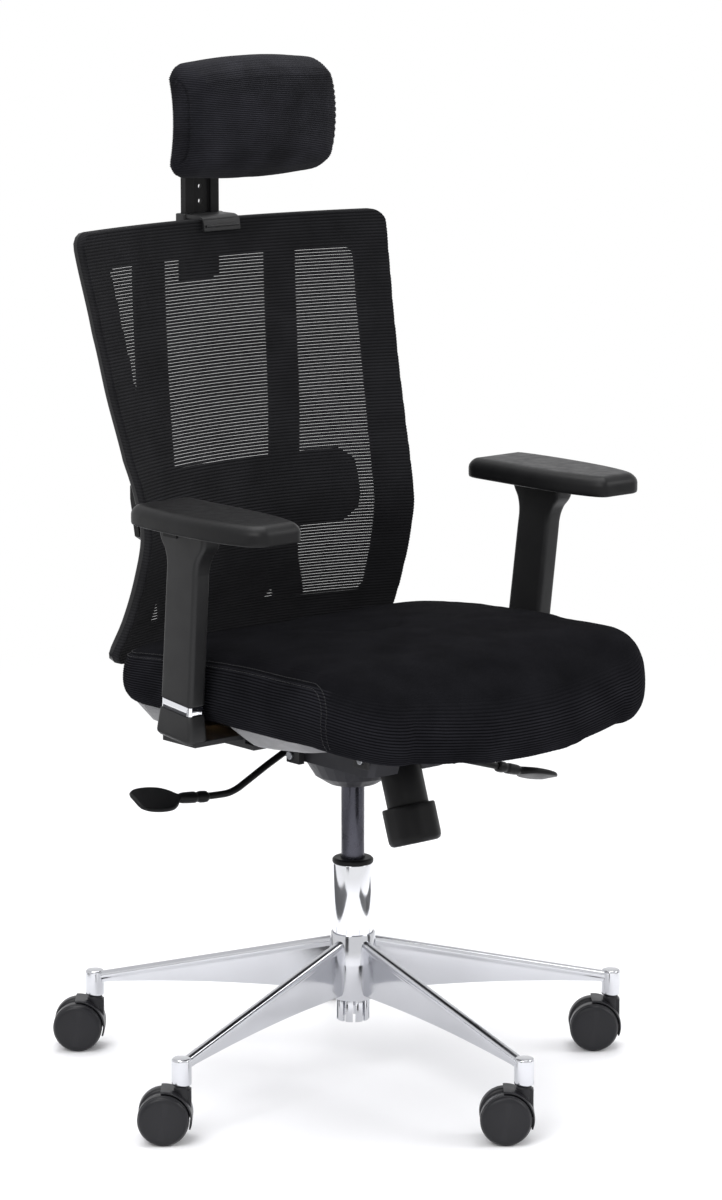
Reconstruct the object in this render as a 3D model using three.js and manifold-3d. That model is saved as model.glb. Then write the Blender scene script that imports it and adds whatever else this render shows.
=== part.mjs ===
// Swivel office chair: mesh back, headrest, adjustable arms, gas lift, five-arm base on twin-wheel casters.
// Millimetres, +Z up. The sitter faces -Y, and every part is drawn with the lift column on the Z axis.
// The whole chair is then moved so that the middle of its footprint is the origin.
import * as THREE from 'three';
import Module from 'manifold-3d';
import { mergeVertices } from 'three/addons/utils/BufferGeometryUtils.js';

const wasm = await Module();
wasm.setup();

const GAP = 0.35;
const DEGREE = Math.PI / 180;

// ---- driving dimensions ----
const BASE = {
  stemCircle: 335, firstArm: 49.5, arms: 5, ridgeHub: 171, ridgeTip: 96, webHub: 101, webTip: 84,
};
const HUB = { outer: 29, bore: 24.3, top: 176, bottom: 100, barrel: 20, barrelBore: 15.5, barrelBottom: 67 };
const SOCKET = { radius: 11.5, bore: 6, bottom: 67, top: 99 };
const CASTER = { wheel: 30, width: 20, between: 15, trail: 21, heading: 139.5, sides: 20 };
const LIFT = {
  tube: 24, tubeBore: 20, tubeTop: 262, cylinder: 14, cylinderBottom: 205, cylinderTop: 400, rod: 5,
};
const HOUSING = { halfWidth: 62, front: -104, rear: 62, floor: 392, top: 423, wall: 4, bowl: 361 };
const SEAT_PIN = { y: -92, z: 413 };
const BACK_PIN = { y: 30, z: 399 };
const TENSION = { y: -84, z: 400, tilt: 18.5, tube: 25, knob: 29.5 };
const TILT_LEVER = { y: -50, root: 190, rootHeight: 360, slope: -0.3 };
const SEAT = {
  halfWidth: 250, front: -320, shoulder: -300, rear: 170, cornerFront: 88, cornerRear: 60, under: 471.5,
};
const PAN = { bottom: 445, top: 471, wall: 4, frontRise: 20 };
const ARM = { x: 268, y: -9, z: 455, forward: 6.2, outward: 1.5 };
const PAD = { centreX: 264, front: -187, length: 229, width: 100, bottom: 704, thickness: 24 };
const BACK = { bottom: 503, top: 1017, side: 40, topBar: 44, bottomBar: 46, corner: 18 };
const FRAME = { rim: 9, rimDepth: 20, depth: 9 };
const MESH = { thickness: 1.6, inset: 5, ahead: 2.2 };
const UPRIGHT = { width: 46, depth: 12 };
const LUMBAR = { halfWidth: 175, low: 638, high: 728, depth: 10, behindMesh: 9 };
const STEM = { halfWidth: 26, front: 282, depth: 10, low: 945, high: 1117, pivotZ: 1136 };
const HEADREST = { halfWidth: 125, low: 1070, high: 1222, depth: 48 };

// Height, fore-aft place of the frame's edge, and half-width of the back.
const BACK_PROFILE = [
  [503, 199, 215.5], [560, 172, 210], [613, 152, 207], [665, 141, 205.5],
  [710, 150, 208], [750, 164, 213], [825, 186, 220], [900, 205, 226], [1024, 231, 236],
];

// ---- materials ----
const LOOKS = {
  chrome: [0xd9dadd, 0.12, 1.0],
  darkSteel: [0x3c3d41, 0.3, 0.9],
  castMetal: [0x55565a, 0.5, 0.7],
  steel: [0x8a8c90, 0.35, 0.9],
  blackPlastic: [0x222224, 0.55, 0],
  greyPlastic: [0x6a6a6d, 0.5, 0],
  softPlastic: [0x2c2c2e, 0.7, 0],
  fabric: [0x17171a, 0.95, 0],
  wood: [0xb08a5a, 0.7, 0],
};

function piece(name, geometry, look) {
  const [color, roughness, metalness] = LOOKS[look];
  const mesh = new THREE.Mesh(geometry, new THREE.MeshStandardMaterial({ color, roughness, metalness }));
  mesh.name = name;
  return mesh;
}

// ---- geometry helpers ----
function bare(geometry) {
  const copy = geometry.clone();
  copy.deleteAttribute('normal');
  copy.deleteAttribute('uv');
  return mergeVertices(copy, 1e-3);
}

function signedVolume(geometry) {
  const at = geometry.attributes.position;
  const [a, b, c] = [new THREE.Vector3(), new THREE.Vector3(), new THREE.Vector3()];
  let sum = 0;
  for (let i = 0; i < geometry.index.count; i += 3) {
    a.fromBufferAttribute(at, geometry.index.getX(i));
    b.fromBufferAttribute(at, geometry.index.getX(i + 1));
    c.fromBufferAttribute(at, geometry.index.getX(i + 2));
    sum += a.dot(b.cross(c));
  }
  return sum;
}

function faceOut(geometry) {
  if (signedVolume(geometry) < 0) geometry.setIndex([...geometry.index.array].toReversed());
  return geometry;
}

function closedGeometry(points, index) {
  const geometry = new THREE.BufferGeometry();
  const numbers = points.flatMap((p) => [p.x, p.y, p.z]);
  geometry.setAttribute('position', new THREE.Float32BufferAttribute(numbers, 3));
  geometry.setIndex(index);
  return faceOut(geometry);
}

// Joins rings of equal point count. caps: 'fan' for round ends, 'strip' for thin ones, 'loop' for none.
function loft(rings, caps = 'fan') {
  const count = rings[0].length;
  const points = rings.flat();
  const index = [];
  const bands = caps === 'loop' ? rings.length : rings.length - 1;
  for (let r = 0; r < bands; r += 1) {
    const next = (r + 1) % rings.length;
    for (let i = 0; i < count; i += 1) {
      const j = (i + 1) % count;
      const [a, b, c, d] = [r * count + i, r * count + j, next * count + j, next * count + i];
      index.push(a, b, c, a, c, d);
    }
  }
  if (caps === 'fan') fanCaps(rings, points, index);
  if (caps === 'strip') stripCaps(rings, index);
  return closedGeometry(points, index);
}

function fanCaps(rings, points, index) {
  const count = rings[0].length;
  for (const r of [0, rings.length - 1]) {
    const centre = new THREE.Vector3();
    rings[r].forEach((p) => centre.add(p));
    points.push(centre.divideScalar(count));
    for (let i = 0; i < count; i += 1) {
      const edge = [r * count + i, r * count + ((i + 1) % count)];
      index.push(...(r === 0 ? edge.toReversed() : edge), points.length - 1);
    }
  }
}

function stripCaps(rings, index) {
  const count = rings[0].length;
  for (const r of [0, rings.length - 1]) {
    for (let i = 0; i < count / 2 - 1; i += 1) {
      const [a, b, c, d] = [i, i + 1, count - 2 - i, count - 1 - i].map((k) => r * count + k);
      index.push(...(r === 0 ? [c, b, a, d, c, a] : [a, b, c, a, c, d]));
    }
  }
}

function toManifold(geometry) {
  const clean = bare(geometry);
  return new wasm.Manifold(new wasm.Mesh({
    numProp: 3,
    vertProperties: new Float32Array(clean.attributes.position.array),
    triVerts: new Uint32Array(clean.index.array),
  }));
}

function fromManifold(manifold) {
  const mesh = manifold.getMesh();
  const geometry = new THREE.BufferGeometry();
  geometry.setAttribute('position', new THREE.BufferAttribute(new Float32Array(mesh.vertProperties), 3));
  geometry.setIndex(new THREE.BufferAttribute(new Uint32Array(mesh.triVerts), 1));
  return geometry;
}

// One solid: everything in `added`, less everything in `removed`.
function combine(added, removed = []) {
  let body = toManifold(added[0]);
  for (const geometry of added.slice(1)) body = body.add(toManifold(geometry));
  for (const geometry of removed) body = body.subtract(toManifold(geometry));
  return fromManifold(body);
}

// A box from its low and high corners.
function block(low, high) {
  const size = high.map((value, i) => value - low[i]);
  const middle = high.map((value, i) => (value + low[i]) / 2);
  return new THREE.BoxGeometry(...size).translate(...middle);
}

// A flat shape given as [y, z] points, between two places along X.
function sideProfile(points, low, high) {
  const outline = new THREE.Shape(points.map(([y, z]) => new THREE.Vector2(y, z)));
  const geometry = new THREE.ExtrudeGeometry(outline, { depth: high - low, bevelEnabled: false });
  return geometry.rotateX(Math.PI / 2).rotateZ(Math.PI / 2).translate(low, 0, 0);
}

// A lathe about Z from [radius, height] pairs.
function lathe(profile, sides = 24) {
  const points = profile.map(([radius, height]) => new THREE.Vector2(radius, height));
  return faceOut(bare(new THREE.LatheGeometry(points, sides).rotateX(Math.PI / 2)));
}

// A tube or ring about Z: its outline closes on itself.
function ringLathe(inner, outer, low, high, sides = 24) {
  return lathe([[inner, low], [outer, low], [outer, high], [inner, high], [inner, low]], sides);
}

function rod(radius, from, to, sides = 16) {
  const start = new THREE.Vector3(...from);
  const along = new THREE.Vector3(...to).sub(start);
  const turn = new THREE.Quaternion().setFromUnitVectors(new THREE.Vector3(0, 1, 0), along.clone().normalize());
  const place = start.add(along.clone().multiplyScalar(0.5));
  const shape = new THREE.CylinderGeometry(radius, radius, along.length(), sides);
  return shape.applyQuaternion(turn).translate(place.x, place.y, place.z);
}

function roundSection(radius, sides) {
  const shape = new THREE.Shape();
  for (let i = 0; i < sides; i += 1) {
    const angle = (2 * Math.PI * i) / sides;
    const move = i === 0 ? 'moveTo' : 'lineTo';
    shape[move](radius * Math.cos(angle), radius * Math.sin(angle));
  }
  return shape.closePath() ?? shape;
}

// A bent rod through the given points.
function bentRod(radius, points, steps, sides = 10) {
  const path = new THREE.CatmullRomCurve3(points.map((p) => new THREE.Vector3(...p)), false, 'centripetal');
  return faceOut(bare(new THREE.ExtrudeGeometry(roundSection(radius, sides), { extrudePath: path, steps })));
}

// Counter-clockwise [x, y] points of a rectangle with round corners, centred on the origin.
function roundedRectangle(width, height, radius, cornerSteps = 3, sideSteps = 1) {
  const corners = [[1, -1], [1, 1], [-1, 1], [-1, -1]];
  const arcs = corners.map(([sx, sy], k) => {
    const centre = [sx * (width / 2 - radius), sy * (height / 2 - radius)];
    return Array.from({ length: cornerSteps + 1 }, (_, i) => {
      const angle = (k - 1 + i / cornerSteps) * (Math.PI / 2);
      return [centre[0] + radius * Math.cos(angle), centre[1] + radius * Math.sin(angle)];
    });
  });
  return arcs.flatMap((arc, k) => {
    const end = arc.at(-1);
    const start = arcs[(k + 1) % 4][0];
    const between = Array.from({ length: sideSteps - 1 }, (_, i) => {
      const t = (i + 1) / sideSteps;
      return [end[0] + (start[0] - end[0]) * t, end[1] + (start[1] - end[1]) * t];
    });
    return [...arc, ...between];
  });
}

function slab(width, height, radius, low, high, cornerSteps = 3) {
  const outline = roundedRectangle(width, height, radius, cornerSteps);
  const ring = (z) => outline.map(([x, y]) => new THREE.Vector3(x, y, z));
  return loft([ring(low), ring(high)]);
}

function smooth(t) {
  const held = Math.min(1, Math.max(0, t));
  return held * held * (3 - 2 * held);
}

// ---- base ----
function armSection(reach, ridge, web) {
  const bead = 6;
  const plate = 3.6;
  const outline = [
    [plate, web], [plate, ridge - 11], [bead, ridge - 7], [bead - 1, ridge - 2], [bead - 4, ridge],
    [4 - bead, ridge], [1 - bead, ridge - 2], [-bead, ridge - 7], [-plate, ridge - 11], [-plate, web],
  ];
  return outline.map(([side, z]) => new THREE.Vector3(reach, side, z));
}

function baseArm(angle) {
  const rings = [];
  for (let i = 0; i <= 4; i += 1) {
    const t = i / 4;
    const reach = 18 + (BASE.stemCircle - 18) * t;
    const ridge = BASE.ridgeHub + (BASE.ridgeTip - BASE.ridgeHub) * t;
    const web = BASE.webHub + (BASE.webTip - BASE.webHub) * t + 5 * Math.sin(Math.PI * t);
    rings.push(armSection(reach, ridge, Math.min(web, ridge - 14)));
  }
  return loft(rings, 'strip').rotateZ(angle);
}

function socketAt(angle) {
  const shape = lathe([[0, SOCKET.bottom], [SOCKET.radius, SOCKET.bottom], [SOCKET.radius, SOCKET.top - 4],
    [SOCKET.radius - 4, SOCKET.top], [0, SOCKET.top]], 20);
  return shape.translate(BASE.stemCircle, 0, 0).rotateZ(angle);
}

function armAngle(index) {
  return (BASE.firstArm + (360 / BASE.arms) * index) * DEGREE;
}

function baseStar() {
  const under = HUB.bottom - 5;
  const hub = lathe([[0, under], [HUB.outer - 2, under], [HUB.outer, HUB.bottom + 40],
    [HUB.bore + 2, HUB.top], [0, HUB.top]], 30);
  const added = [hub, rod(HUB.barrel, [0, 0, HUB.barrelBottom], [0, 0, under + 1], 30)];
  const removed = [
    rod(HUB.bore, [0, 0, HUB.bottom], [0, 0, HUB.top + 1], 32),
    rod(HUB.barrelBore, [0, 0, HUB.barrelBottom - 1], [0, 0, under], 30),
    rod(LIFT.rod + 1.2, [0, 0, HUB.barrelBottom], [0, 0, HUB.top]),
  ];
  for (let i = 0; i < BASE.arms; i += 1) {
    added.push(baseArm(armAngle(i)), socketAt(armAngle(i)));
    const reach = BASE.stemCircle;
    const bore = rod(SOCKET.bore, [reach, 0, SOCKET.bottom - 1], [reach, 0, SOCKET.top - 6]);
    removed.push(bore.rotateZ(armAngle(i)));
  }
  for (let i = 0; i < 10; i += 1) {
    const low = [HUB.barrelBore - 2, -1.8, HUB.barrelBottom - 1];
    const slot = block(low, [HUB.barrel + 2, 1.8, HUB.bottom - 8]);
    removed.push(slot.rotateZ((i + 0.5) * 36 * DEGREE));
  }
  return piece('base_star', combine(added, removed), 'chrome');
}

// ---- casters ----
function fender() {
  const inner = CASTER.wheel + 1.3;
  const outer = inner + 2.2;
  const half = CASTER.width + CASTER.between / 2;
  const rings = [];
  for (let i = 0; i <= 6; i += 1) {
    const angle = (-20 + 115 * (i / 6)) * DEGREE;
    const [cos, sin] = [Math.cos(angle), Math.sin(angle)];
    const corner = (radius, side) => new THREE.Vector3(radius * cos, side, radius * sin);
    rings.push([corner(inner, -half), corner(outer, -half), corner(outer, half), corner(inner, half)]);
  }
  return loft(rings).translate(0, 0, CASTER.wheel);
}

// Drawn with the axle along Y through x = 0 and the stem on the +X side.
function casterHood(name) {
  const inside = CASTER.between / 2 - GAP;
  const half = CASTER.between / 2 + CASTER.width;
  const disc = rod(CASTER.wheel - 3, [0, -inside, CASTER.wheel], [0, inside, CASTER.wheel], 18);
  const body = block([4, -inside, CASTER.wheel], [CASTER.wheel + 2, inside, CASTER.wheel + 32]);
  const shoulder = rod(9.5, [CASTER.trail, 0, CASTER.wheel + 10], [CASTER.trail, 0, SOCKET.bottom - GAP]);
  const stem = rod(SOCKET.bore - GAP, [CASTER.trail, 0, CASTER.wheel], [CASTER.trail, 0, SOCKET.top - 7]);
  const axle = rod(3, [0, -half + 3, CASTER.wheel], [0, half - 3, CASTER.wheel], 12);
  const clear = [-1, 1].map((side) => {
    const start = side * (inside + 0.01);
    return rod(CASTER.wheel + 1.2, [0, start, CASTER.wheel], [0, side * (half + 3), CASTER.wheel], 20);
  });
  const shell = combine([disc, body, shoulder, stem, fender()], clear);
  return piece(name, combine([shell, axle]), 'blackPlastic');
}

function casterWheel(name, side) {
  const start = CASTER.between / 2;
  const end = start + CASTER.width;
  const tread = CASTER.wheel / Math.cos(Math.PI / CASTER.sides);
  const profile = [[3.3, start], [tread - 2.5, start], [tread, start + 2.5], [tread, end - 5],
    [tread - 3, end - 1.5], [tread - 7, end - 1.5], [tread - 8.5, end - 3], [9, end - 2.4], [8, end], [0, end], [0, end - 2.6],
    [3.3, end - 2.6], [3.3, start]];
  const wheel = lathe(profile, CASTER.sides).rotateZ(Math.PI / CASTER.sides);
  wheel.rotateX(side > 0 ? -Math.PI / 2 : Math.PI / 2);
  return piece(name, wheel.translate(0, 0, CASTER.wheel), 'softPlastic');
}

function caster(index) {
  const group = new THREE.Group();
  const angle = armAngle(index);
  const heading = CASTER.heading * DEGREE;
  const stem = [BASE.stemCircle * Math.cos(angle), BASE.stemCircle * Math.sin(angle)];
  const number = index + 1;
  group.add(casterHood(`caster_${number}_hood`));
  group.add(casterWheel(`caster_${number}_wheel_a`, 1), casterWheel(`caster_${number}_wheel_b`, -1));
  group.rotation.z = heading + Math.PI;
  group.position.set(stem[0] + CASTER.trail * Math.cos(heading), stem[1] + CASTER.trail * Math.sin(heading), 0);
  return group;
}

// ---- gas lift ----
function liftOuterTube() {
  const low = HUB.bottom + GAP;
  const profile = [[LIFT.rod + 1.2, low], [LIFT.tube, low], [LIFT.tube, LIFT.tubeTop],
    [LIFT.tubeBore, LIFT.tubeTop], [LIFT.tubeBore, low + 4], [LIFT.rod + 1.2, low + 4], [LIFT.rod + 1.2, low]];
  return piece('lift_outer_tube', lathe(profile, 32), 'chrome');
}

function liftGuideBush() {
  const inner = LIFT.cylinder + GAP;
  const top = LIFT.tubeTop + 6.5;
  const profile = [[inner, 196], [LIFT.tubeBore - GAP, 196], [LIFT.tubeBore - GAP, LIFT.tubeTop + GAP],
    [LIFT.tube + 0.8, LIFT.tubeTop + GAP], [LIFT.tube + 0.8, top - 2], [LIFT.tube - 1, top],
    [inner, top], [inner, 196]];
  return piece('lift_guide_bush', lathe(profile, 32), 'blackPlastic');
}

function pistonRod() {
  const seat = HUB.bottom + 12;
  const profile = [[0, HUB.bottom - 8], [LIFT.rod, HUB.bottom - 8], [LIFT.rod, seat], [9, seat], [9, seat + 4],
    [LIFT.rod, seat + 4], [LIFT.rod, 235], [0, 235]];
  return piece('piston_rod', lathe(profile, 16), 'steel');
}

function thrustBearing() {
  const low = HUB.bottom + 4 + 2 * GAP;
  return piece('thrust_bearing', ringLathe(LIFT.rod + 1, 15, low, HUB.bottom + 12 - GAP, 20), 'steel');
}

function gasCylinder() {
  const gland = LIFT.rod + GAP;
  const profile = [[gland, LIFT.cylinderBottom], [LIFT.cylinder, LIFT.cylinderBottom],
    [LIFT.cylinder, LIFT.cylinderTop], [4.4, LIFT.cylinderTop], [4.4, LIFT.cylinderTop - 16],
    [0, LIFT.cylinderTop - 16], [0, 350], [11.5, 350], [11.5, LIFT.cylinderBottom + 10],
    [gland, LIFT.cylinderBottom + 10], [gland, LIFT.cylinderBottom]];
  return piece('gas_cylinder', lathe(profile, 28), 'darkSteel');
}

function valveButton() {
  const low = LIFT.cylinderTop - 10;
  return piece('valve_button', rod(4, [0, 0, low], [0, 0, LIFT.cylinderTop + 6], 12), 'steel');
}

// ---- tilt mechanism ----
function tensionFrame(geometry) {
  return geometry.rotateX(-TENSION.tilt * DEGREE).translate(0, TENSION.y, TENSION.z);
}

function mechanismHousing() {
  const length = HOUSING.rear - HOUSING.front;
  const middle = (HOUSING.rear + HOUSING.front) / 2;
  const tray = slab(2 * HOUSING.halfWidth, length, 16, HOUSING.floor, HOUSING.top);
  const inner = 2 * (HOUSING.halfWidth - HOUSING.wall);
  const pocket = slab(inner, length - 2 * HOUSING.wall, 12, HOUSING.floor + 3.5, HOUSING.top + 1);
  const under = HOUSING.floor + 3;
  const low = HOUSING.bowl;
  const bowl = lathe([[0, low], [30, low], [46, low + 10], [61, under], [0, under]], 28);
  const boss = lathe([[0, low], [22, low], [21, low + 30], [0, low + 30]], 28);
  const bore = rod(LIFT.cylinder + GAP, [0, 0, low - 1], [0, 0, HOUSING.top], 28);
  const side = HOUSING.halfWidth;
  const pinHoles = [SEAT_PIN, BACK_PIN].map(({ y, z }) => rod(5 + GAP, [-side - 2, y, z], [side + 2, y, z]));
  const leverHole = rod(8.5, [-side - 4, 50, 400], [-side + 8, 50, 400]);
  const tiltHole = rod(6.2, tiltLeverPoint(side - 8), tiltLeverPoint(side + 4));
  const nose = tensionFrame(rod(TENSION.tube + GAP, [0, 0, 40], [0, 0, -60], 28));
  const shell = combine([tray.translate(0, middle, 0)], [pocket.translate(0, middle, 0)]);
  const removed = [bore, ...pinHoles, leverHole, tiltHole, nose];
  return piece('mechanism_housing', combine([shell, bowl, boss], removed), 'castMetal');
}

function crossPin(name, { y, z }, halfLength) {
  return piece(name, rod(5, [-halfLength, y, z], [halfLength, y, z]), 'steel');
}

function springTube() {
  const profile = [[TENSION.tube, -3], [TENSION.tube, -55], [5.4, -55], [5.4, -51], [TENSION.tube - 3, -51],
    [TENSION.tube - 3, -3], [TENSION.tube, -3]];
  return piece('spring_tube', tensionFrame(lathe(profile, 28)), 'blackPlastic');
}

function tensionKnob() {
  const half = TENSION.knob;
  const rings = [[-52.5, half - 1], [-54.5, half], [-93, half], [-98.5, half - 3]].map(([z, radius]) => (
    roundedRectangle(2 * radius, 2 * radius, radius * 0.8, 4).map(([x, y]) => new THREE.Vector3(x, y, z))
  ));
  const recess = rod(TENSION.tube + 1.2, [0, 0, -40], [0, 0, -56], 24);
  const boltHole = rod(4.5 + GAP, [0, 0, -40], [0, 0, -77]);
  return piece('tension_knob', tensionFrame(combine([loft(rings)], [recess, boltHole])), 'blackPlastic');
}

function tensionBolt() {
  return piece('tension_bolt', tensionFrame(rod(4.5, [0, 0, 3], [0, 0, -76], 12)), 'steel');
}

function tensionNut() {
  const plate = slab(27, 27, 4, -13, -8, 2);
  const hole = rod(4.5 + GAP, [0, 0, 0], [0, 0, -20], 12);
  return piece('tension_nut', tensionFrame(combine([plate], [hole])), 'steel');
}

function tensionSpring() {
  const turns = 5;
  const steps = turns * 12;
  const points = Array.from({ length: steps + 1 }, (_, i) => {
    const angle = (2 * Math.PI * turns * i) / steps;
    return [13 * Math.cos(angle), 13 * Math.sin(angle), -15.6 - 33 * (i / steps)];
  });
  return piece('tension_spring', tensionFrame(bentRod(1.9, points, steps, 6)), 'steel');
}

// A flat paddle that widens along `along`, drawn along -X or +X from the origin.
function paddle(side, length, rootWidth, tipWidth) {
  const stations = [[0, rootWidth, 13], [0.3, rootWidth, 12], [0.48, tipWidth * 0.7, 8], [0.75, tipWidth, 6],
    [0.93, tipWidth * 0.9, 5], [1, tipWidth * 0.55, 4]];
  const rings = stations.map(([t, width, height]) => (
    roundedRectangle(width, height, height * 0.4, 2).map(([y, z]) => new THREE.Vector3(side * length * t, y, z))
  ));
  return loft(rings);
}

function heightLever() {
  const path = [[-4, 4, 412], [-34, 34, 411.5], [-50, 47, 405.5], [-62, 50, 399.5], [-90, 50, 387.5],
    [-138, 50, 364.5], [-152, 50, 361.2], [-176, 50, 362], [-226, 50, 366.5]];
  const grip = paddle(-1, 98, 15, 44).rotateX(26 * DEGREE).rotateY(6 * DEGREE).translate(-194, 50, 363.4);
  const hole = rod(4.9, [-170, 50, 361.2], [-228, 50, 367], 12);
  return [
    piece('height_lever_rod', bentRod(4.2, path, 30), 'blackPlastic'),
    piece('height_lever_paddle', combine([grip], [hole]), 'blackPlastic'),
  ];
}

function tiltLeverPoint(x) {
  return [x, TILT_LEVER.y, TILT_LEVER.rootHeight + TILT_LEVER.slope * (x - TILT_LEVER.root)];
}

function tiltLever() {
  const at = tiltLeverPoint;
  const drop = Math.atan(-TILT_LEVER.slope);
  const grip = paddle(1, 92, 15, 40).rotateX(-18 * DEGREE).rotateY(drop).translate(...at(TILT_LEVER.root));
  const hole = rod(4 + GAP, at(180), at(222), 12);
  return [
    piece('tilt_lever_rod', rod(4, at(54), at(221), 12), 'blackPlastic'),
    piece('tilt_lever_paddle', combine([grip], [hole]), 'blackPlastic'),
  ];
}

// ---- seat ----
function seatOutline(inset) {
  const half = SEAT.halfWidth;
  const frontCentre = half - SEAT.cornerFront;
  const rearCentre = half - SEAT.cornerRear;
  const arc = (cx, cy, radius, from, to, steps) => Array.from({ length: steps + 1 }, (_, i) => {
    const angle = (from + ((to - from) * i) / steps) * DEGREE;
    return [cx + radius * Math.cos(angle), cy + radius * Math.sin(angle)];
  });
  const bulge = (x) => SEAT.front + (SEAT.shoulder - SEAT.front) * (x / frontCentre) ** 2 + inset;
  const front = [0, 40, 80, 120].map((x) => [x * (1 - inset / 300), bulge(x)]);
  const frontRadius = Math.max(10, SEAT.cornerFront - inset);
  const rearRadius = Math.max(10, SEAT.cornerRear - inset);
  const frontShift = Math.max(0, inset - SEAT.cornerFront + 10);
  const rearShift = Math.max(0, inset - SEAT.cornerRear + 10);
  const frontY = SEAT.shoulder + SEAT.cornerFront + frontShift;
  const rearY = SEAT.rear - SEAT.cornerRear - rearShift;
  const right = [
    ...front,
    ...arc(frontCentre - frontShift, frontY, frontRadius, -84, 0, 6),
    ...[0.25, 0.5, 0.75].map((t) => [half - inset, frontY + (rearY - frontY) * t]),
    ...arc(rearCentre - rearShift, rearY, rearRadius, 0, 90, 5),
    [100 * (1 - inset / 300), SEAT.rear - inset + 1],
    [0, SEAT.rear - inset + 2],
  ];
  const left = right.slice(1, -1).toReversed().map(([x, y]) => [-x, y]);
  return [...right, ...left];
}

// How far the seat's front rolls down.
function frontDrop(y) {
  const t = Math.max(0, (-y - 205) / 108);
  return 30 * t * t;
}

// How far the crown lies lower towards the back.
function rearDrop(y) {
  const t = Math.max(0, (y + 117) / 279);
  return 24 * t ** 1.6;
}

function seatRing(inset, rise) {
  const share = Math.max(0, rise) / 87;
  return seatOutline(inset).map(([x, y]) => (
    new THREE.Vector3(x, y, SEAT.under + rise - frontDrop(y) - share * rearDrop(y))
  ));
}

function seatCushion() {
  const flat = (inset) => seatOutline(inset).map(([x, y]) => new THREE.Vector3(x, y, SEAT.under));
  const levels = [[54, 0], [13, 0], [5, 9], [0, 34], [3, 60], [10, 73], [24, 81.5], [60, 85], [110, 86.5],
    [165, 87]];
  const rings = levels.map(([inset, rise]) => seatRing(inset, rise));
  return piece('seat_cushion', loft([flat(165), flat(100), flat(56), ...rings]), 'fabric');
}

function seatBoard() {
  const board = slab(380, 260, 30, SEAT.under - 11.5, SEAT.under - 0.4, 2);
  return piece('seat_board', board.translate(0, -20, 0), 'wood');
}

// The pan's outline, shorter than the cushion's at the front.
function panRing(inset, rise) {
  return seatOutline(inset).map(([x, y]) => {
    const ahead = Math.max(0, -35 - y);
    const lift = PAN.frontRise * Math.min(1, ahead / 285) ** 1.6;
    return new THREE.Vector3(x, y + 0.3 * ahead, Math.min(PAN.top, PAN.bottom + rise + lift));
  });
}

function seatPan() {
  const depth = PAN.top - PAN.bottom;
  const shell = [[165, 0], [100, 0], [44, 0], [38, 3], [18, depth], [165, depth]];
  const outer = loft(shell.map(([a, b]) => panRing(a, b)));
  const floor = [[165, PAN.wall], [100, PAN.wall], [50, PAN.wall]].map(([a, b]) => panRing(a, b));
  const rim = panRing(24, 0);
  const mouth = [PAN.top - 1, PAN.top + 2].map((z) => rim.map((p) => new THREE.Vector3(p.x, p.y, z)));
  const inner = loft([...floor, ...mouth]);
  const notches = [-1, 1].map((side) => {
    const [near, far] = [side * 191, side * 268];
    const above = PAN.top + 2;
    const outline = [[-52, above], [-74, 448.5], [-74, 440], [46, 440], [46, 448.5], [32, above]];
    return sideProfile(outline, Math.min(near, far), Math.max(near, far));
  });
  const ribs = [-120, 120].map((x) => (
    block([x - 2, -140, PAN.bottom + 2], [x + 2, 100, SEAT.under - 12])
  ));
  return piece('seat_pan', combine([combine([outer], [inner, ...notches]), ...ribs]), 'greyPlastic');
}

function seatBracket() {
  const plate = slab(244, 236, 14, 438, 443.8, 2).translate(0, -20, 0);
  const ears = [-1, 1].map((side) => {
    const [near, far] = [side * (HOUSING.halfWidth + 1), side * (HOUSING.halfWidth + 5)];
    const low = [Math.min(near, far), SEAT_PIN.y - 12, SEAT_PIN.z - 10];
    return block(low, [Math.max(near, far), SEAT_PIN.y + 12, 439]);
  });
  const hole = rod(5 + GAP, [-100, SEAT_PIN.y, SEAT_PIN.z], [100, SEAT_PIN.y, SEAT_PIN.z]);
  return piece('seat_bracket', combine([plate, ...ears], [hole]), 'darkSteel');
}

// ---- arms ----
// Arm pieces are drawn for the chair's left side about the arm's own axis, then leaned and placed.
function leanArm(geometry, side) {
  const turned = geometry.rotateX(ARM.forward * DEGREE).rotateY(ARM.outward * DEGREE);
  const leaned = turned.translate(ARM.x, ARM.y, ARM.z);
  return side > 0 ? leaned : mirrorX(leaned);
}

function mirrorX(geometry) {
  return faceOut(bare(geometry).scale(-1, 1, 1));
}

function armTube(levels, radius) {
  return loft(levels.map(([z, width, length, shiftY = 0, shiftX = 0]) => (
    roundedRectangle(width, length, radius, 3).map(([x, y]) => new THREE.Vector3(x + shiftX, y + shiftY, z))
  )));
}

function armBracket(name, side) {
  const post = leanArm(armTube([[-3, 14, 36], [185, 14, 36]], 2), 1);
  const neck = block([194, -42, 449.5], [274, 18, 455.5]);
  const step = block([194, -42, 438.5], [200, 18, 455.5]);
  const foot = block([126, -58, 438.5], [200, 72, 444.5]);
  const geometry = combine([foot, step, neck, post]);
  return piece(name, side > 0 ? geometry : mirrorX(geometry), 'darkSteel');
}

function armCover(name, side) {
  const outer = armTube([[-0.5, 20, 56], [3, 26.5, 66], [33.5, 25, 57]], 6);
  const hollow = armTube([[-20, 15, 37.5], [60, 15, 37.5]], 2);
  const neckRoom = block([180, -43, 430], [275, 19, 456]);
  const geometry = combine([leanArm(outer, 1)], [leanArm(hollow, 1), neckRoom]);
  return piece(name, side > 0 ? geometry : mirrorX(geometry), 'blackPlastic');
}

function armTrim(name, side) {
  const hollow = armTube([[30, 15, 37.5], [60, 15, 37.5]], 2);
  const band = combine([armTube([[34, 23, 53], [45, 23, 53]], 5)], [hollow]);
  return piece(name, leanArm(band, side), 'chrome');
}

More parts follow.
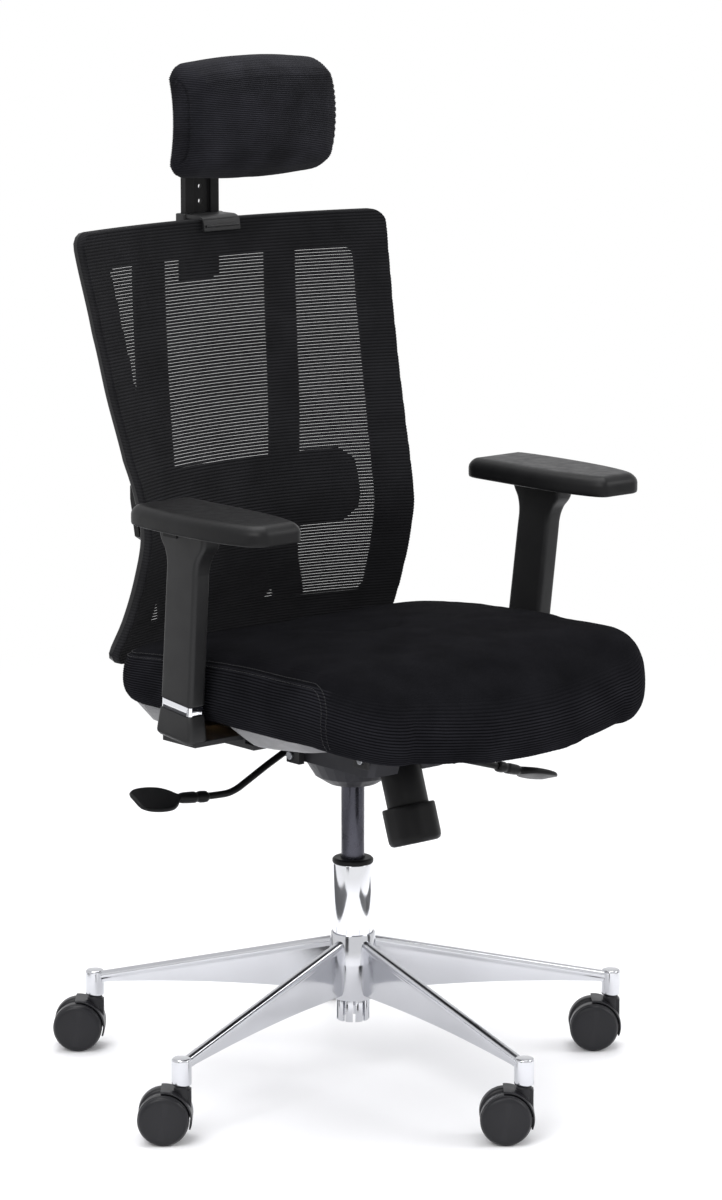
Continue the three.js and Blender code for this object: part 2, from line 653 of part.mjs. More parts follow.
function armSleeve(name, side) {
  const levels = [[45.7, 24, 56], [180, 24, 55], [206, 24, 55], [222, 25, 63], [238, 26.5, 82],
    [262, 27, 84]];
  const outer = armTube(levels, 6);
  const hollow = armTube([[40, 15, 37.5], [196, 15, 37.5]], 2);
  const level = block([200, -200, PAD.bottom - GAP], [340, 200, PAD.bottom + 60]);
  const geometry = combine([leanArm(outer, 1)], [leanArm(hollow, 1), level, buttonBox(0.4)]);
  return piece(name, side > 0 ? geometry : mirrorX(geometry), 'blackPlastic');
}

// The button under the pad, or with a clearance the pocket it slides in.
function buttonBox(clearance) {
  const inside = clearance > 0 ? 272 : 276;
  const outside = clearance > 0 ? 320 : 289.5;
  return block([inside, -30 - clearance, 694 - clearance], [outside, -4 + clearance, 700 + clearance]);
}

function armButton(name, side) {
  const geometry = buttonBox(0);
  return piece(name, side > 0 ? geometry : mirrorX(geometry), 'softPlastic');
}

// Outline of the pad on the chair's left: nearly straight inside, bowed outside, narrower at the front.
function padOutline() {
  const half = PAD.width / 2;
  const end = PAD.length / 2;
  const shape = new THREE.Shape();
  shape.moveTo(-half, end - 20);
  shape.lineTo(1 - half, -end + 95);
  shape.quadraticCurveTo(4 - half, -end + 40, 14 - half, -end + 12);
  shape.quadraticCurveTo(19 - half, -end, 28 - half, -end);
  shape.lineTo(half - 32, -end);
  shape.quadraticCurveTo(half - 20, -end + 2, half - 13, -end + 17);
  shape.bezierCurveTo(half - 4, -end + 40, half + 1, -end + 85, half, -end + 135);
  shape.quadraticCurveTo(half - 1, end - 40, half - 6, end - 17);
  shape.quadraticCurveTo(half - 10, end, half - 22, end);
  shape.lineTo(14 - half, end);
  shape.quadraticCurveTo(1 - half, end, -half, end - 20);
  return shape;
}

function armPad(name, side) {
  const bevel = { bevelThickness: 7, bevelSize: 9, bevelOffset: -9, bevelSegments: 2 };
  const options = { depth: PAD.thickness - 7, curveSegments: 6, ...bevel };
  const whole = bare(new THREE.ExtrudeGeometry(padOutline(), options));
  const under = block([-80, -150, -20], [80, 150, 0]);
  const geometry = combine([whole], [under]);
  geometry.translate(PAD.centreX, PAD.front + PAD.length / 2, PAD.bottom);
  return piece(name, side > 0 ? geometry : mirrorX(geometry), 'softPlastic');
}

// ---- back ----
function backEdge(z) {
  const last = BACK_PROFILE.length - 1;
  const k = Math.min(last - 1, Math.max(0, BACK_PROFILE.findLastIndex((row) => row[0] <= z)));
  const t = (z - BACK_PROFILE[k][0]) / (BACK_PROFILE[k + 1][0] - BACK_PROFILE[k][0]);
  const row = (i) => BACK_PROFILE[Math.min(last, Math.max(0, i))];
  const blend = (column) => {
    const [before, from, to, after] = [row(k - 1), row(k), row(k + 1), row(k + 2)].map((r) => r[column]);
    const bend = (to - before) * 0.5 * (1 - t) * (1 - t) * t - (after - from) * 0.5 * t * t * (1 - t);
    return from + (to - from) * (t * t * (3 - 2 * t)) + bend;
  };
  return { y: blend(1), half: blend(2) };
}

// How far the middle of the back lies behind its edges.
function backHollow(z) {
  return 40 + 15 * Math.exp(-(((z - 680) / 110) ** 2));
}

// Front surface of the frame; the mesh lies just ahead of it.
function backSurface(x, z) {
  const edge = backEdge(z);
  return edge.y - 15 + backHollow(z) * (1 - (x / edge.half) ** 2);
}

function frameLoop(inset, topBar, bottomBar, radius) {
  const nominal = 215;
  const height = BACK.top - BACK.bottom - topBar - bottomBar;
  const middle = (BACK.top - topBar + BACK.bottom + bottomBar) / 2;
  return roundedRectangle(2 * (nominal - inset), height, radius, 3, 9).map(([x, rise]) => {
    const z = middle + rise;
    return { x: (x * (backEdge(z).half - inset)) / (nominal - inset), z };
  });
}

function backFrame() {
  const outer = frameLoop(0, 0, 0, BACK.corner);
  const rim = frameLoop(FRAME.rim, FRAME.rim, FRAME.rim, BACK.corner - FRAME.rim + 3);
  const inner = frameLoop(BACK.side, BACK.topBar, BACK.bottomBar, 12);
  const at = ({ x, z }, behind) => new THREE.Vector3(x, backSurface(x, z) + behind, z);
  const rings = outer.map((edge, i) => [
    at(edge, 0), at(edge, FRAME.rimDepth), at(rim[i], FRAME.rimDepth), at(rim[i], FRAME.depth),
    at(inner[i], FRAME.depth), at(inner[i], 0),
  ]);
  return piece('back_frame', loft(rings, 'loop'), 'blackPlastic');
}

function backMesh() {
  const columns = 12;
  const rows = 16;
  const [low, high] = [BACK.bottom + MESH.inset, BACK.top - MESH.inset];
  const rings = [];
  for (let r = 0; r <= rows; r += 1) {
    const z = low + ((high - low) * r) / rows;
    const half = backEdge(z).half - MESH.inset;
    const line = (ahead) => Array.from({ length: columns + 1 }, (_, i) => {
      const x = -half + (2 * half * i) / columns;
      return new THREE.Vector3(x, backSurface(x, z) - ahead, z);
    });
    rings.push([...line(MESH.ahead), ...line(MESH.ahead + MESH.thickness).toReversed()]);
  }
  return piece('back_mesh', loft(rings, 'strip'), 'fabric');
}

function uprightCentre(z) {
  const straight = 245 + 14.5 * smooth((z - 640) / 355);
  return straight - 15 * smooth((612 - z) / 70);
}

function backUpright(name, side) {
  const rings = [];
  for (let i = 0; i <= 14; i += 1) {
    const z = 522 + (985 - 522) * (i / 14);
    const middle = side * (90 + 12 * smooth((z - 528) / 300));
    const section = roundedRectangle(UPRIGHT.width, UPRIGHT.depth, 3, 1);
    rings.push(section.map(([x, y]) => new THREE.Vector3(middle + x, uprightCentre(z) + y, z)));
  }
  return piece(name, loft(rings), 'blackPlastic');
}

function lumbarPad() {
  const rows = 6;
  const middle = (LUMBAR.low + LUMBAR.high) / 2;
  const rings = [];
  for (let r = 0; r <= rows; r += 1) {
    const z = LUMBAR.low + ((LUMBAR.high - LUMBAR.low) * r) / rows;
    const round = Math.sqrt(Math.max(0, 1 - (Math.abs(z - middle) / (middle - LUMBAR.low)) ** 4));
    const half = LUMBAR.halfWidth - 26 * (1 - round);
    const front = backSurface(0, z) + LUMBAR.behindMesh;
    const line = (y) => [-1, -0.5, 0, 0.5, 1].map((t) => new THREE.Vector3(half * t, y, z));
    rings.push([...line(front), ...line(front + LUMBAR.depth).toReversed()]);
  }
  const hooks = [-1, 1].map((side) => {
    const reach = uprightCentre(middle - 42) - UPRIGHT.depth / 2 - GAP;
    return block([side * 98 - 15, 197, middle - 12], [side * 98 + 15, reach, middle + 12]);
  });
  return piece('lumbar_pad', combine([loft(rings, 'strip'), ...hooks]), 'blackPlastic');
}

// Bar bent from under the seat up behind the back, forked at its front end round the housing. Each prong
// arches over the height lever.
function backBracket() {
  const bends = [[118, 404], [170, 407], [218, 421], [251, 456], [263, 510], [259.5, 570], [257.6, 620],
    [257.6, 672]];
  const places = bends.map(([y, z]) => new THREE.Vector3(0, y, z));
  const path = new THREE.CatmullRomCurve3(places, false, 'centripetal');
  const rings = [];
  for (let i = 0; i <= 16; i += 1) {
    const point = path.getPointAt(i / 16);
    const along = path.getTangentAt(i / 16);
    const across = new THREE.Vector3(0, -along.z, along.y).multiplyScalar(5.8);
    const half = 72 - 12 * smooth((point.y - 150) / 60) + 46 * smooth((point.z - 520) / 60);
    const corner = (x, sign) => point.clone().addScaledVector(across, sign).setX(x);
    rings.push([corner(-half, -1), corner(half, -1), corner(half, 1), corner(-half, 1)]);
  }
  const prongs = [-1, 1].map((side) => {
    const [near, far] = [side * 64, side * 72];
    const outline = [[14, 390], [37.5, 390], [38.5, 415.5], [64, 415.5], [66, 404], [132, 398.5],
      [132, 410], [72, 416], [66, 425], [36, 425], [22, 414], [14, 412]];
    return sideProfile(outline, Math.min(near, far), Math.max(near, far));
  });
  const hole = rod(5 + GAP, [-100, BACK_PIN.y, BACK_PIN.z], [100, BACK_PIN.y, BACK_PIN.z]);
  return piece('back_bracket', combine([loft(rings), ...prongs], [hole]), 'darkSteel');
}

// ---- headrest ----
function headrestBracket() {
  const front = backSurface(0, BACK.top - 16) - MESH.ahead - MESH.thickness - 1.7;
  const rear = STEM.front + STEM.depth + 5;
  const wide = STEM.halfWidth + 5;
  const lip = block([-28, front - 3, BACK.top - 12], [28, front, BACK.top + 6]);
  const cap = block([-28, front - 1, BACK.top + 1.2], [28, rear, BACK.top + 6]);
  const sleeve = block([-wide, STEM.front - 3, 978], [wide, rear, BACK.top + 6]);
  const tab = block([-27, STEM.front + STEM.depth + 1, 940], [27, rear, 984]);
  const [y0, y1] = [STEM.front - 0.5, STEM.front + STEM.depth + 0.5];
  const slot = block([-STEM.halfWidth - 0.5, y0, 930], [STEM.halfWidth + 0.5, y1, 1040]);
  const relief = block([-40, front, 930], [40, STEM.front - 2.9, BACK.top + 1.2]);
  return piece('headrest_bracket', combine([lip, cap, sleeve, tab], [slot, relief]), 'blackPlastic');
}

function headrestStem() {
  const rear = STEM.front + STEM.depth;
  const plate = block([-STEM.halfWidth, STEM.front, STEM.low], [STEM.halfWidth, rear, STEM.high]);
  const neck = block([-12, STEM.front + 1, STEM.high - 2], [12, rear - 1, STEM.pivotZ]);
  const barrel = rod(8, [-12, STEM.front + 5, STEM.pivotZ], [12, STEM.front + 5, STEM.pivotZ]);
  const channel = block([-13, STEM.front - 1, STEM.low + 8], [13, STEM.front + 4, STEM.high - 10]);
  const removed = [channel];
  for (let i = 0; i < 8; i += 1) {
    const z = STEM.low + 20 + 18 * i;
    removed.push(rod(3.2, [0, STEM.front - 1, z], [0, rear + 1, z], 10));
  }
  removed.push(rod(3 + GAP, [-20, STEM.front + 5, STEM.pivotZ], [20, STEM.front + 5, STEM.pivotZ], 12));
  return piece('headrest_stem', combine([plate, neck, barrel], removed), 'blackPlastic');
}

// Rear face of the headrest cushion, hollow at mid height.
function cushionRear(z) {
  const t = (z - (HEADREST.low + HEADREST.high) / 2) / ((HEADREST.high - HEADREST.low) / 2);
  return 189 + 16 * t * t;
}

function headrestShell() {
  const rings = [];
  for (let i = 0; i <= 6; i += 1) {
    const z = 1088 + (1204 - 1088) * (i / 6);
    const front = cushionRear(z) + 1.5;
    const line = (y) => [-92, 0, 92].map((x) => new THREE.Vector3(x, y, z));
    rings.push([...line(front), ...line(front + 6).toReversed()]);
  }
  const pivot = STEM.front + 5;
  const lugs = [-1, 1].map((side) => {
    const [near, far] = [side * 12.5, side * 19];
    const [low, high] = [Math.min(near, far), Math.max(near, far)];
    return combine([block([low, 192, STEM.pivotZ - 8], [high, pivot, STEM.pivotZ + 8]),
      rod(8, [low, pivot, STEM.pivotZ], [high, pivot, STEM.pivotZ])]);
  });
  const pin = rod(3, [-18, pivot, STEM.pivotZ], [18, pivot, STEM.pivotZ], 12);
  const foam = block([-95, 150, 1080], [95, 191.5, 1214]);
  return piece('headrest_shell', combine([loft(rings, 'strip'), ...lugs, pin], [foam]), 'blackPlastic');
}

function headrestCushion() {
  const middle = (HEADREST.low + HEADREST.high) / 2;
  const levels = [[0, 54], [0, 30], [0, 6], [2, 2], [6, 1], [13, 2], [25, 7], [36, 15], [43, 24], [47, 37],
    [48, 56]];
  const rings = levels.map(([ahead, inset]) => {
    const width = 2 * (HEADREST.halfWidth - inset);
    const height = HEADREST.high - HEADREST.low - 2 * inset;
    const outline = roundedRectangle(width, height, Math.max(12, 38 - inset), 4, 4);
    return outline.map(([x, rise]) => {
      const z = middle + rise;
      const share = ahead / HEADREST.depth;
      const front = 142 + 14 * (x / HEADREST.halfWidth) ** 2;
      return new THREE.Vector3(x, cushionRear(z) * (1 - share) + front * share, z);
    });
  });
  return piece('headrest_cushion', loft(rings), 'fabric');
}

// ---- assembly ----
function undercarriage() {
  const casters = Array.from({ length: BASE.arms }, (_, i) => caster(i));
  return [baseStar(), liftOuterTube(), liftGuideBush(), pistonRod(), thrustBearing(), ...casters];
}

function chassis() {
  return [
    gasCylinder(), valveButton(), mechanismHousing(), crossPin('seat_pivot_pin', SEAT_PIN, 69),
    crossPin('back_pivot_pin', BACK_PIN, 75), springTube(), tensionKnob(), tensionBolt(), tensionNut(),
    tensionSpring(), ...heightLever(), ...tiltLever(),
  ];
}

function arm(hand, side) {
  return [
    armBracket(`${hand}_arm_bracket`, side),
    armCover(`${hand}_arm_cover`, side),
    armTrim(`${hand}_arm_trim`, side),
    armSleeve(`${hand}_arm_sleeve`, side),
    armButton(`${hand}_arm_button`, side),
    armPad(`${hand}_arm_pad`, side),
  ];
}

function seatAndArms() {
  return [seatBracket(), seatPan(), seatBoard(), seatCushion(), ...arm('left', 1), ...arm('right', -1)];
}

function backAndHeadrest() {
  return [
    backBracket(), backUpright('left_upright', 1), backUpright('right_upright', -1), backFrame(), backMesh(),
    lumbarPad(), headrestBracket(), headrestStem(), headrestShell(), headrestCushion(),
  ];
}

const chair = new THREE.Group();
chair.add(...undercarriage(), ...chassis(), ...seatAndArms(), ...backAndHeadrest());
chair.updateMatrixWorld(true);
const footprint = new THREE.Box3().setFromObject(chair, true).getCenter(new THREE.Vector3());
chair.position.set(-footprint.x, -footprint.y, 0);

export default chair;
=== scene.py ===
import math

import bpy
import numpy as np
from mathutils import Matrix, Vector
from mathutils.kdtree import KDTree


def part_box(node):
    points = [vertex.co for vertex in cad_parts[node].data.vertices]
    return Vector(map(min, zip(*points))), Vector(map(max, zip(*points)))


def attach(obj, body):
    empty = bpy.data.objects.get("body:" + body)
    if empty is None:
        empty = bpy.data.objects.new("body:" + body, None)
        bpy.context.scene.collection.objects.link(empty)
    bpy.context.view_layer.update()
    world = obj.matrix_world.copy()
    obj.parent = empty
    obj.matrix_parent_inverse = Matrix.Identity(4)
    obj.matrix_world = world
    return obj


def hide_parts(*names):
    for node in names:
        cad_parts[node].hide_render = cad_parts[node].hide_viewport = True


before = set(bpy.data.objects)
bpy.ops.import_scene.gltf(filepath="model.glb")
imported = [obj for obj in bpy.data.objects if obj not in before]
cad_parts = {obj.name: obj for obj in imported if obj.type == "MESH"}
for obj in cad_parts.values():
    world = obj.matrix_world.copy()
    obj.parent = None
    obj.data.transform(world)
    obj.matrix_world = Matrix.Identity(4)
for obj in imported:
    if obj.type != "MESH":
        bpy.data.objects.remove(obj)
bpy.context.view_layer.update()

# The chair is drawn in millimetres about its column axis, +Z up, the sitter facing -Y. place() turns that
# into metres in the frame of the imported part, at the axis that the lift tube's box gives.

BASE = dict(stem_circle=335, first_arm=49.5, ridge=(171, 96), web=(101, 84))
HUB = dict(outer=29, bore=24.3, top=176, bottom=95, barrel=20, barrel_bore=15.5, barrel_bottom=67)
WHEEL = dict(radius=30, width=20, between=15, trail=21, heading=139.5)
TENSION = dict(y=-84, z=400, tilt=18.5)
SEAT = dict(half=250, front=-320, shoulder=-300, rear=170, corner_front=88, corner_rear=60, under=471.5,
            rib=3.6)
SEAT_CROWN = (0.8, 0.6, 0.4, 0.2, 0.05)
ARM = dict(x=268, y=-9, z=455, forward=6.2, outward=1.5)
PAD = dict(x=264, front=-187, length=229, width=100, bottom=704)
BACK = dict(bottom=503, top=1017, side=40, top_bar=44, bottom_bar=46, corner=18)
# The back's edge in rows of (height, y, half width).
BACK_PROFILE = np.array([
    [503, 199, 215.5], [560, 172, 210], [613, 152, 207], [665, 141, 205.5], [710, 150, 208],
    [750, 164, 213], [825, 186, 220], [900, 205, 226], [1024, 231, 236],
])
HEADREST = dict(half=125, low=1070, high=1222, depth=48, corner=26, rib=2.3)
HEADREST_MIDDLE = (HEADREST["low"] + HEADREST["high"]) / 2
HEADREST_HALF = (HEADREST["high"] - HEADREST["low"]) / 2
# How the headrest rounds over at its front and its rear edge: (inset from the outline, distance ahead).
HEADREST_FRONT = np.array([(1, 6), (1.25, 9), (2, 13), (4, 19.5), (7, 25), (15, 36), (24, 43), (37, 47),
                           (56, 48)])
HEADREST_REAR = np.array([(1, 6), (2, 2), (4, 0.6), (6, 0), (30, 0)])
WEAVE = dict(pitch=3.8, rows=(0, 0.085, 0.38, 0.72), column=2.6, slot=2.25, wrap=12.0, widest=236)
CAMERA = dict(eye=(-3266.7, -3824.9, 1546.0), across=(0.7604, -0.6494), turn=0.001975, down=10.84,
              lens=129.105)


# ---- shapes: every builder returns (points, faces) in chair millimetres ----
def axis_offset():
    low, high = (np.array(corner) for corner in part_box("lift_outer_tube"))
    return np.array([(low[0] + high[0]) / 2, (low[1] + high[1]) / 2, 0.0])


OFFSET = axis_offset()


def place(points):
    return np.asarray(points, float) * 0.001 + OFFSET


def smooth(t):
    t = np.clip(t, 0, 1)
    return t * t * (3 - 2 * t)


def turned(points, axis, degrees):
    matrix = np.array(Matrix.Rotation(math.radians(degrees), 3, axis))
    return np.asarray(points, float) @ matrix.T


def turned_shape(shape, axis, degrees):
    return turned(shape[0], axis, degrees), shape[1]


def moved(shape, by):
    return np.asarray(shape[0], float) + np.array(by, float), shape[1]


def mirrored(shape):
    points = np.asarray(shape[0], float) * np.array([-1, 1, 1])
    return points, [tuple(reversed(face)) for face in shape[1]]


def joined(shapes):
    points, faces, count = [], [], 0
    for part_points, part_faces in shapes:
        points.append(np.asarray(part_points, float))
        faces += [tuple(index + count for index in face) for face in part_faces]
        count += len(part_points)
    return np.vstack(points), faces


def loft(rings, caps=True, loop=False):
    rings = [np.asarray(ring, float) for ring in rings]
    count = len(rings[0])
    faces = []
    last = len(rings) if loop else len(rings) - 1
    for r in range(last):
        a, b = r * count, ((r + 1) % len(rings)) * count
        for i in range(count):
            j = (i + 1) % count
            faces.append((a + i, a + j, b + j, b + i))
    if caps and not loop:
        faces.append(tuple(range(count - 1, -1, -1)))
        faces.append(tuple(range((len(rings) - 1) * count, len(rings) * count)))
    return np.vstack(rings), faces


def rounded(points, radius, steps=3, closed=False):
    """The polyline with each corner replaced by a small curve."""
    points = [np.asarray(point, float) for point in points]
    out = []
    for i, point in enumerate(points):
        if not closed and i in (0, len(points) - 1):
            out.append(point)
            continue
        before, after = points[i - 1], points[(i + 1) % len(points)]
        back, ahead = before - point, after - point
        reach = min(radius, 0.45 * np.linalg.norm(back), 0.45 * np.linalg.norm(ahead))
        start = point + back / np.linalg.norm(back) * reach
        end = point + ahead / np.linalg.norm(ahead) * reach
        for t in np.linspace(0, 1, steps + 1):
            out.append(start * (1 - t) ** 2 + point * 2 * t * (1 - t) + end * t * t)
    return np.array(out)


def lathe(profile, sides=64, closed=False):
    """Turns a list of (radius, height) round Z. A closed profile makes a ring, an open one gets flat ends."""
    turns = np.linspace(0, 2 * math.pi, sides, endpoint=False)
    rings = [np.column_stack([r * np.cos(turns), r * np.sin(turns), np.full(sides, z)]) for r, z in profile]
    return loft(rings, loop=closed)


def rounded_rectangle(width, length, radius, steps=6):
    radius = min(radius, width / 2 - 0.01, length / 2 - 0.01)
    corners = [(1, 1, 0), (-1, 1, 90), (-1, -1, 180), (1, -1, 270)]
    points = []
    for sx, sy, start in corners:
        for t in np.linspace(0, 90, steps + 1):
            angle = math.radians(start + t)
            points.append((sx * (width / 2 - radius) + radius * math.cos(angle),
                           sy * (length / 2 - radius) + radius * math.sin(angle)))
    return np.array(points)


def level(outline, z):
    return np.column_stack([outline, np.full(len(outline), float(z))])


def through(rows, positions):
    """Catmull-Rom interpolation of rows of numbers at positions along their first column."""
    rows = np.asarray(rows, float)
    keys = rows[:, 0]
    k = np.clip(np.searchsorted(keys, positions, side="right") - 1, 0, len(rows) - 2)
    t = ((np.asarray(positions, float) - keys[k]) / (keys[k + 1] - keys[k]))[:, None]
    before, start = rows[np.clip(k - 1, 0, None)], rows[k]
    end, after = rows[k + 1], rows[np.clip(k + 2, None, len(rows) - 1)]
    bend = (end - before) * 0.5 * (1 - t) ** 2 * t - (after - start) * 0.5 * t * t * (1 - t)
    return start + (end - start) * (t * t * (3 - 2 * t)) + bend


def sweep(path, radius, sides=20):
    path = np.asarray(path, float)
    tangents = np.gradient(path, axis=0)
    tangents /= np.linalg.norm(tangents, axis=1)[:, None]
    side = np.cross(tangents[0], [0, 0, 1.0])
    rings = []
    turns = np.linspace(0, 2 * math.pi, sides, endpoint=False)
    for point, tangent in zip(path, tangents):
        side = side - tangent * side.dot(tangent)
        side /= np.linalg.norm(side)
        up = np.cross(tangent, side)
        rings.append(point + radius * (np.cos(turns)[:, None] * side - np.sin(turns)[:, None] * up))
    return loft(rings)


def rod(radius, start, end, sides=24):
    start, end = np.array(start, float), np.array(end, float)
    return sweep([start, (start + end) / 2, end], radius, sides)


def grid_normals(grid):
    """Outward normals of a grid of points, rows by columns, closed along its columns."""
    along = np.roll(grid, -1, axis=1) - np.roll(grid, 1, axis=1)
    across = np.gradient(grid, axis=0)
    normals = np.cross(along, across)
    return normals / np.maximum(np.linalg.norm(normals, axis=2), 1e-9)[:, :, None]


def walked(path):
    """Distance along a path at each of its points."""
    return np.concatenate([[0], np.cumsum(np.linalg.norm(np.diff(path, axis=0), axis=1))])


def tree_of(points):
    tree = KDTree(len(points))
    for i, point in enumerate(points):
        tree.insert(point, i)
    tree.balance()
    return tree


def new_mesh(name, points, faces):
    mesh = bpy.data.meshes.new(name)
    mesh.from_pydata(points, [], faces)
    return mesh


def added(name, data):
    """A new object in the scene that holds this mesh, light or camera."""
    obj = bpy.data.objects.new(name, data)
    bpy.context.scene.collection.objects.link(obj)
    return obj


# ---- materials ----
def linear(red, green, blue):
    values = np.array([red, green, blue]) / 255
    return tuple(np.where(values <= 0.04045, values / 12.92, ((values + 0.055) / 1.055) ** 2.4))


def new_material(name):
    mat = bpy.data.materials.new(name)
    mat.use_nodes = True
    return mat, mat.node_tree, mat.node_tree.nodes["Principled BSDF"]


def noise(tree, at, scale, detail):
    node = tree.nodes.new("ShaderNodeTexNoise")
    node.inputs["Scale"].default_value = scale
    node.inputs["Detail"].default_value = detail
    tree.links.new(at, node.inputs["Vector"])
    return node.outputs["Fac"]


def mapped(tree, value, low, high, start=0.3, end=0.7):
    node = tree.nodes.new("ShaderNodeMapRange")
    node.inputs["From Min"].default_value = start
    node.inputs["From Max"].default_value = end
    node.inputs["To Min"].default_value = low
    node.inputs["To Max"].default_value = high
    tree.links.new(value, node.inputs["Value"])
    return node.outputs["Result"]


def mixed(tree, factor, first, second):
    node = tree.nodes.new("ShaderNodeMix")
    node.data_type = "RGBA"
    tree.links.new(factor, node.inputs["Factor"])
    for socket, value in ((node.inputs[6], first), (node.inputs[7], second)):
        if isinstance(value, tuple):
            socket.default_value = (*value, 1)
        else:
            tree.links.new(value, socket)
    return node.outputs[2]


def scaled(colour, factor):
    return tuple(channel * factor for channel in colour)


def woven(tree, at, scale, height):
    """The grain broken up by diagonal bands of yarn."""
    wave = tree.nodes.new("ShaderNodeTexWave")
    wave.wave_type = "BANDS"
    wave.bands_direction = "DIAGONAL"
    wave.inputs["Scale"].default_value = scale
    wave.inputs["Distortion"].default_value = 1.5
    wave.inputs["Detail Scale"].default_value = 3
    tree.links.new(at, wave.inputs["Vector"])
    blend = tree.nodes.new("ShaderNodeMath")
    blend.operation = "MULTIPLY"
    tree.links.new(wave.outputs["Fac"], blend.inputs[0])
    tree.links.new(height, blend.inputs[1])
    return blend.outputs["Value"]


def worn_edges(tree, tint, base, wear):
    edge = tree.nodes.new("ShaderNodeNewGeometry").outputs["Pointiness"]
    worn = tuple(min(1, channel * 2.2 + 0.02) for channel in base)
    return mixed(tree, mapped(tree, edge, 0, wear, 0.52, 0.6), tint, worn)


def painted_rib_light_and_shade(tree, tint, base, patchy, rib_light_and_shade):
    """Painted shade darkens the rib grooves and painted light brightens the crests, by the mask that the
    piece carries.
    """
    relief = tree.nodes.new("ShaderNodeAttribute")
    relief.attribute_name = "relief"
    shaded_groove, lit_crest = rib_light_and_shade
    light = mixed(tree, mapped(tree, patchy, 0, 1), tint, scaled(base, lit_crest))
    return mixed(tree, relief.outputs["Fac"], scaled(base, shaded_groove), light)


def material(name, colour, rough, metallic=0.0, spread=0.12, grain=400, bump=0.05, patches=9,
             rough_spread=0.12, sheen=0.0, specular=0.5, weave=None, wear=0.0, rib_light_and_shade=None):
    """A surface with patchy colour and gloss, a fine grain, and on cloth a weave, in object coordinates. On
    ribbed cloth it paints shade into the grooves and light onto the crests.
    """
    mat, tree, shader = new_material(name)
    at = tree.nodes.new("ShaderNodeTexCoord").outputs["Object"]
    shader.inputs["Metallic"].default_value = metallic
    shader.inputs["Sheen Weight"].default_value = sheen
    shader.inputs["Sheen Roughness"].default_value = 0.6
    shader.inputs["Specular IOR Level"].default_value = specular
    base = linear(*colour)
    light = tuple(min(1, channel) for channel in scaled(base, 1 + spread))
    tint = mixed(tree, mapped(tree, noise(tree, at, patches, 4), 0, 1), scaled(base, 1 - spread), light)
    if wear:
        tint = worn_edges(tree, tint, base, wear)
    height = noise(tree, at, grain, 3)
    if weave:
        height = woven(tree, at, weave, height)
        tint = mixed(tree, mapped(tree, height, 0, 1), tint, scaled(base, 1.5))
    # Painted shade in the rib grooves and painted light on the rib crests.
    if rib_light_and_shade:
        tint = painted_rib_light_and_shade(tree, tint, base, noise(tree, at, patches * 3, 3), rib_light_and_shade)
    tree.links.new(tint, shader.inputs["Base Color"])
    gloss = mapped(tree, noise(tree, at, patches * 5, 5), rough - rough_spread / 2, rough + rough_spread / 2)
    tree.links.new(gloss, shader.inputs["Roughness"])
    bumps = tree.nodes.new("ShaderNodeBump")
    bumps.inputs["Strength"].default_value = 0.6
    bumps.inputs["Distance"].default_value = bump * 0.001
    tree.links.new(height, bumps.inputs["Height"])
    tree.links.new(bumps.outputs["Normal"], shader.inputs["Normal"])
    return mat


SURFACES = dict(
    polished_aluminium=dict(colour=(202, 203, 207), rough=0.15, metallic=1, spread=0.05, grain=260,
                            bump=0.03),
    chrome=dict(colour=(228, 229, 233), rough=0.07, metallic=1, spread=0.02, grain=120, bump=0.01,
                rough_spread=0.05),
    piston_steel=dict(colour=(74, 74, 82), rough=0.28, metallic=0.85, spread=0.06, grain=600, bump=0.02),
    cast_housing=dict(colour=(42, 42, 46), rough=0.5, metallic=0.6, grain=900, bump=0.2, wear=0.4),
    painted_steel=dict(colour=(20, 20, 22), rough=0.42, grain=1200, bump=0.08, specular=0.35, wear=0.25),
    plain_steel=dict(colour=(150, 152, 156), rough=0.34, metallic=1, spread=0.06, grain=900, bump=0.03),
    black_plastic=dict(colour=(12, 12, 13), rough=0.42, grain=1500, bump=0.07, specular=0.16, wear=0.15),
    rim_plastic=dict(colour=(13, 13, 15), rough=0.36, grain=1200, bump=0.04, specular=0.2, wear=0.1),
    sleeve_plastic=dict(colour=(26, 26, 27), rough=0.44, grain=1500, bump=0.06, specular=0.3, wear=0.15),
    grey_plastic=dict(colour=(104, 104, 106), rough=0.5, grain=1100, bump=0.08, spread=0.05),
    arm_pad=dict(colour=(16, 16, 17), rough=0.42, grain=900, bump=0.07, patches=14, specular=0.2,
                 wear=0.1),
    caster_plastic=dict(colour=(28, 28, 31), rough=0.36, grain=900, bump=0.04, specular=0.25, wear=0.1),
    # On the three cloths the last pair darkens the rib grooves and lightens the crests: painted shade and
    # painted light, as factors on the colour.
    seat_fabric=dict(colour=(22, 22, 25), rough=0.95, spread=0.15, grain=1300, bump=0.4, weave=330,
                     patches=6, specular=0.02, rib_light_and_shade=(0.25, 2.0)),
    headrest_fabric=dict(colour=(27, 27, 31), rough=0.95, spread=0.15, grain=1500, bump=0.35, sheen=0.03,
                         weave=420, patches=8, specular=0.02, rib_light_and_shade=(0.2, 2.4)),
    back_mesh=dict(colour=(23, 23, 25), rough=0.9, spread=0.15, grain=1600, bump=0.25, sheen=0.03,
                   weave=500, patches=8, specular=0.03, rib_light_and_shade=(0.4, 1.8)),
    stitching=dict(colour=(24, 24, 27), rough=0.8, spread=0.1, grain=2500, bump=0.2, sheen=0.05),
    plywood=dict(colour=(176, 138, 90), rough=0.65, spread=0.25, grain=90, bump=0.15, patches=22),
)
LOOK = {name: material(name, **surface) for name, surface in SURFACES.items()}


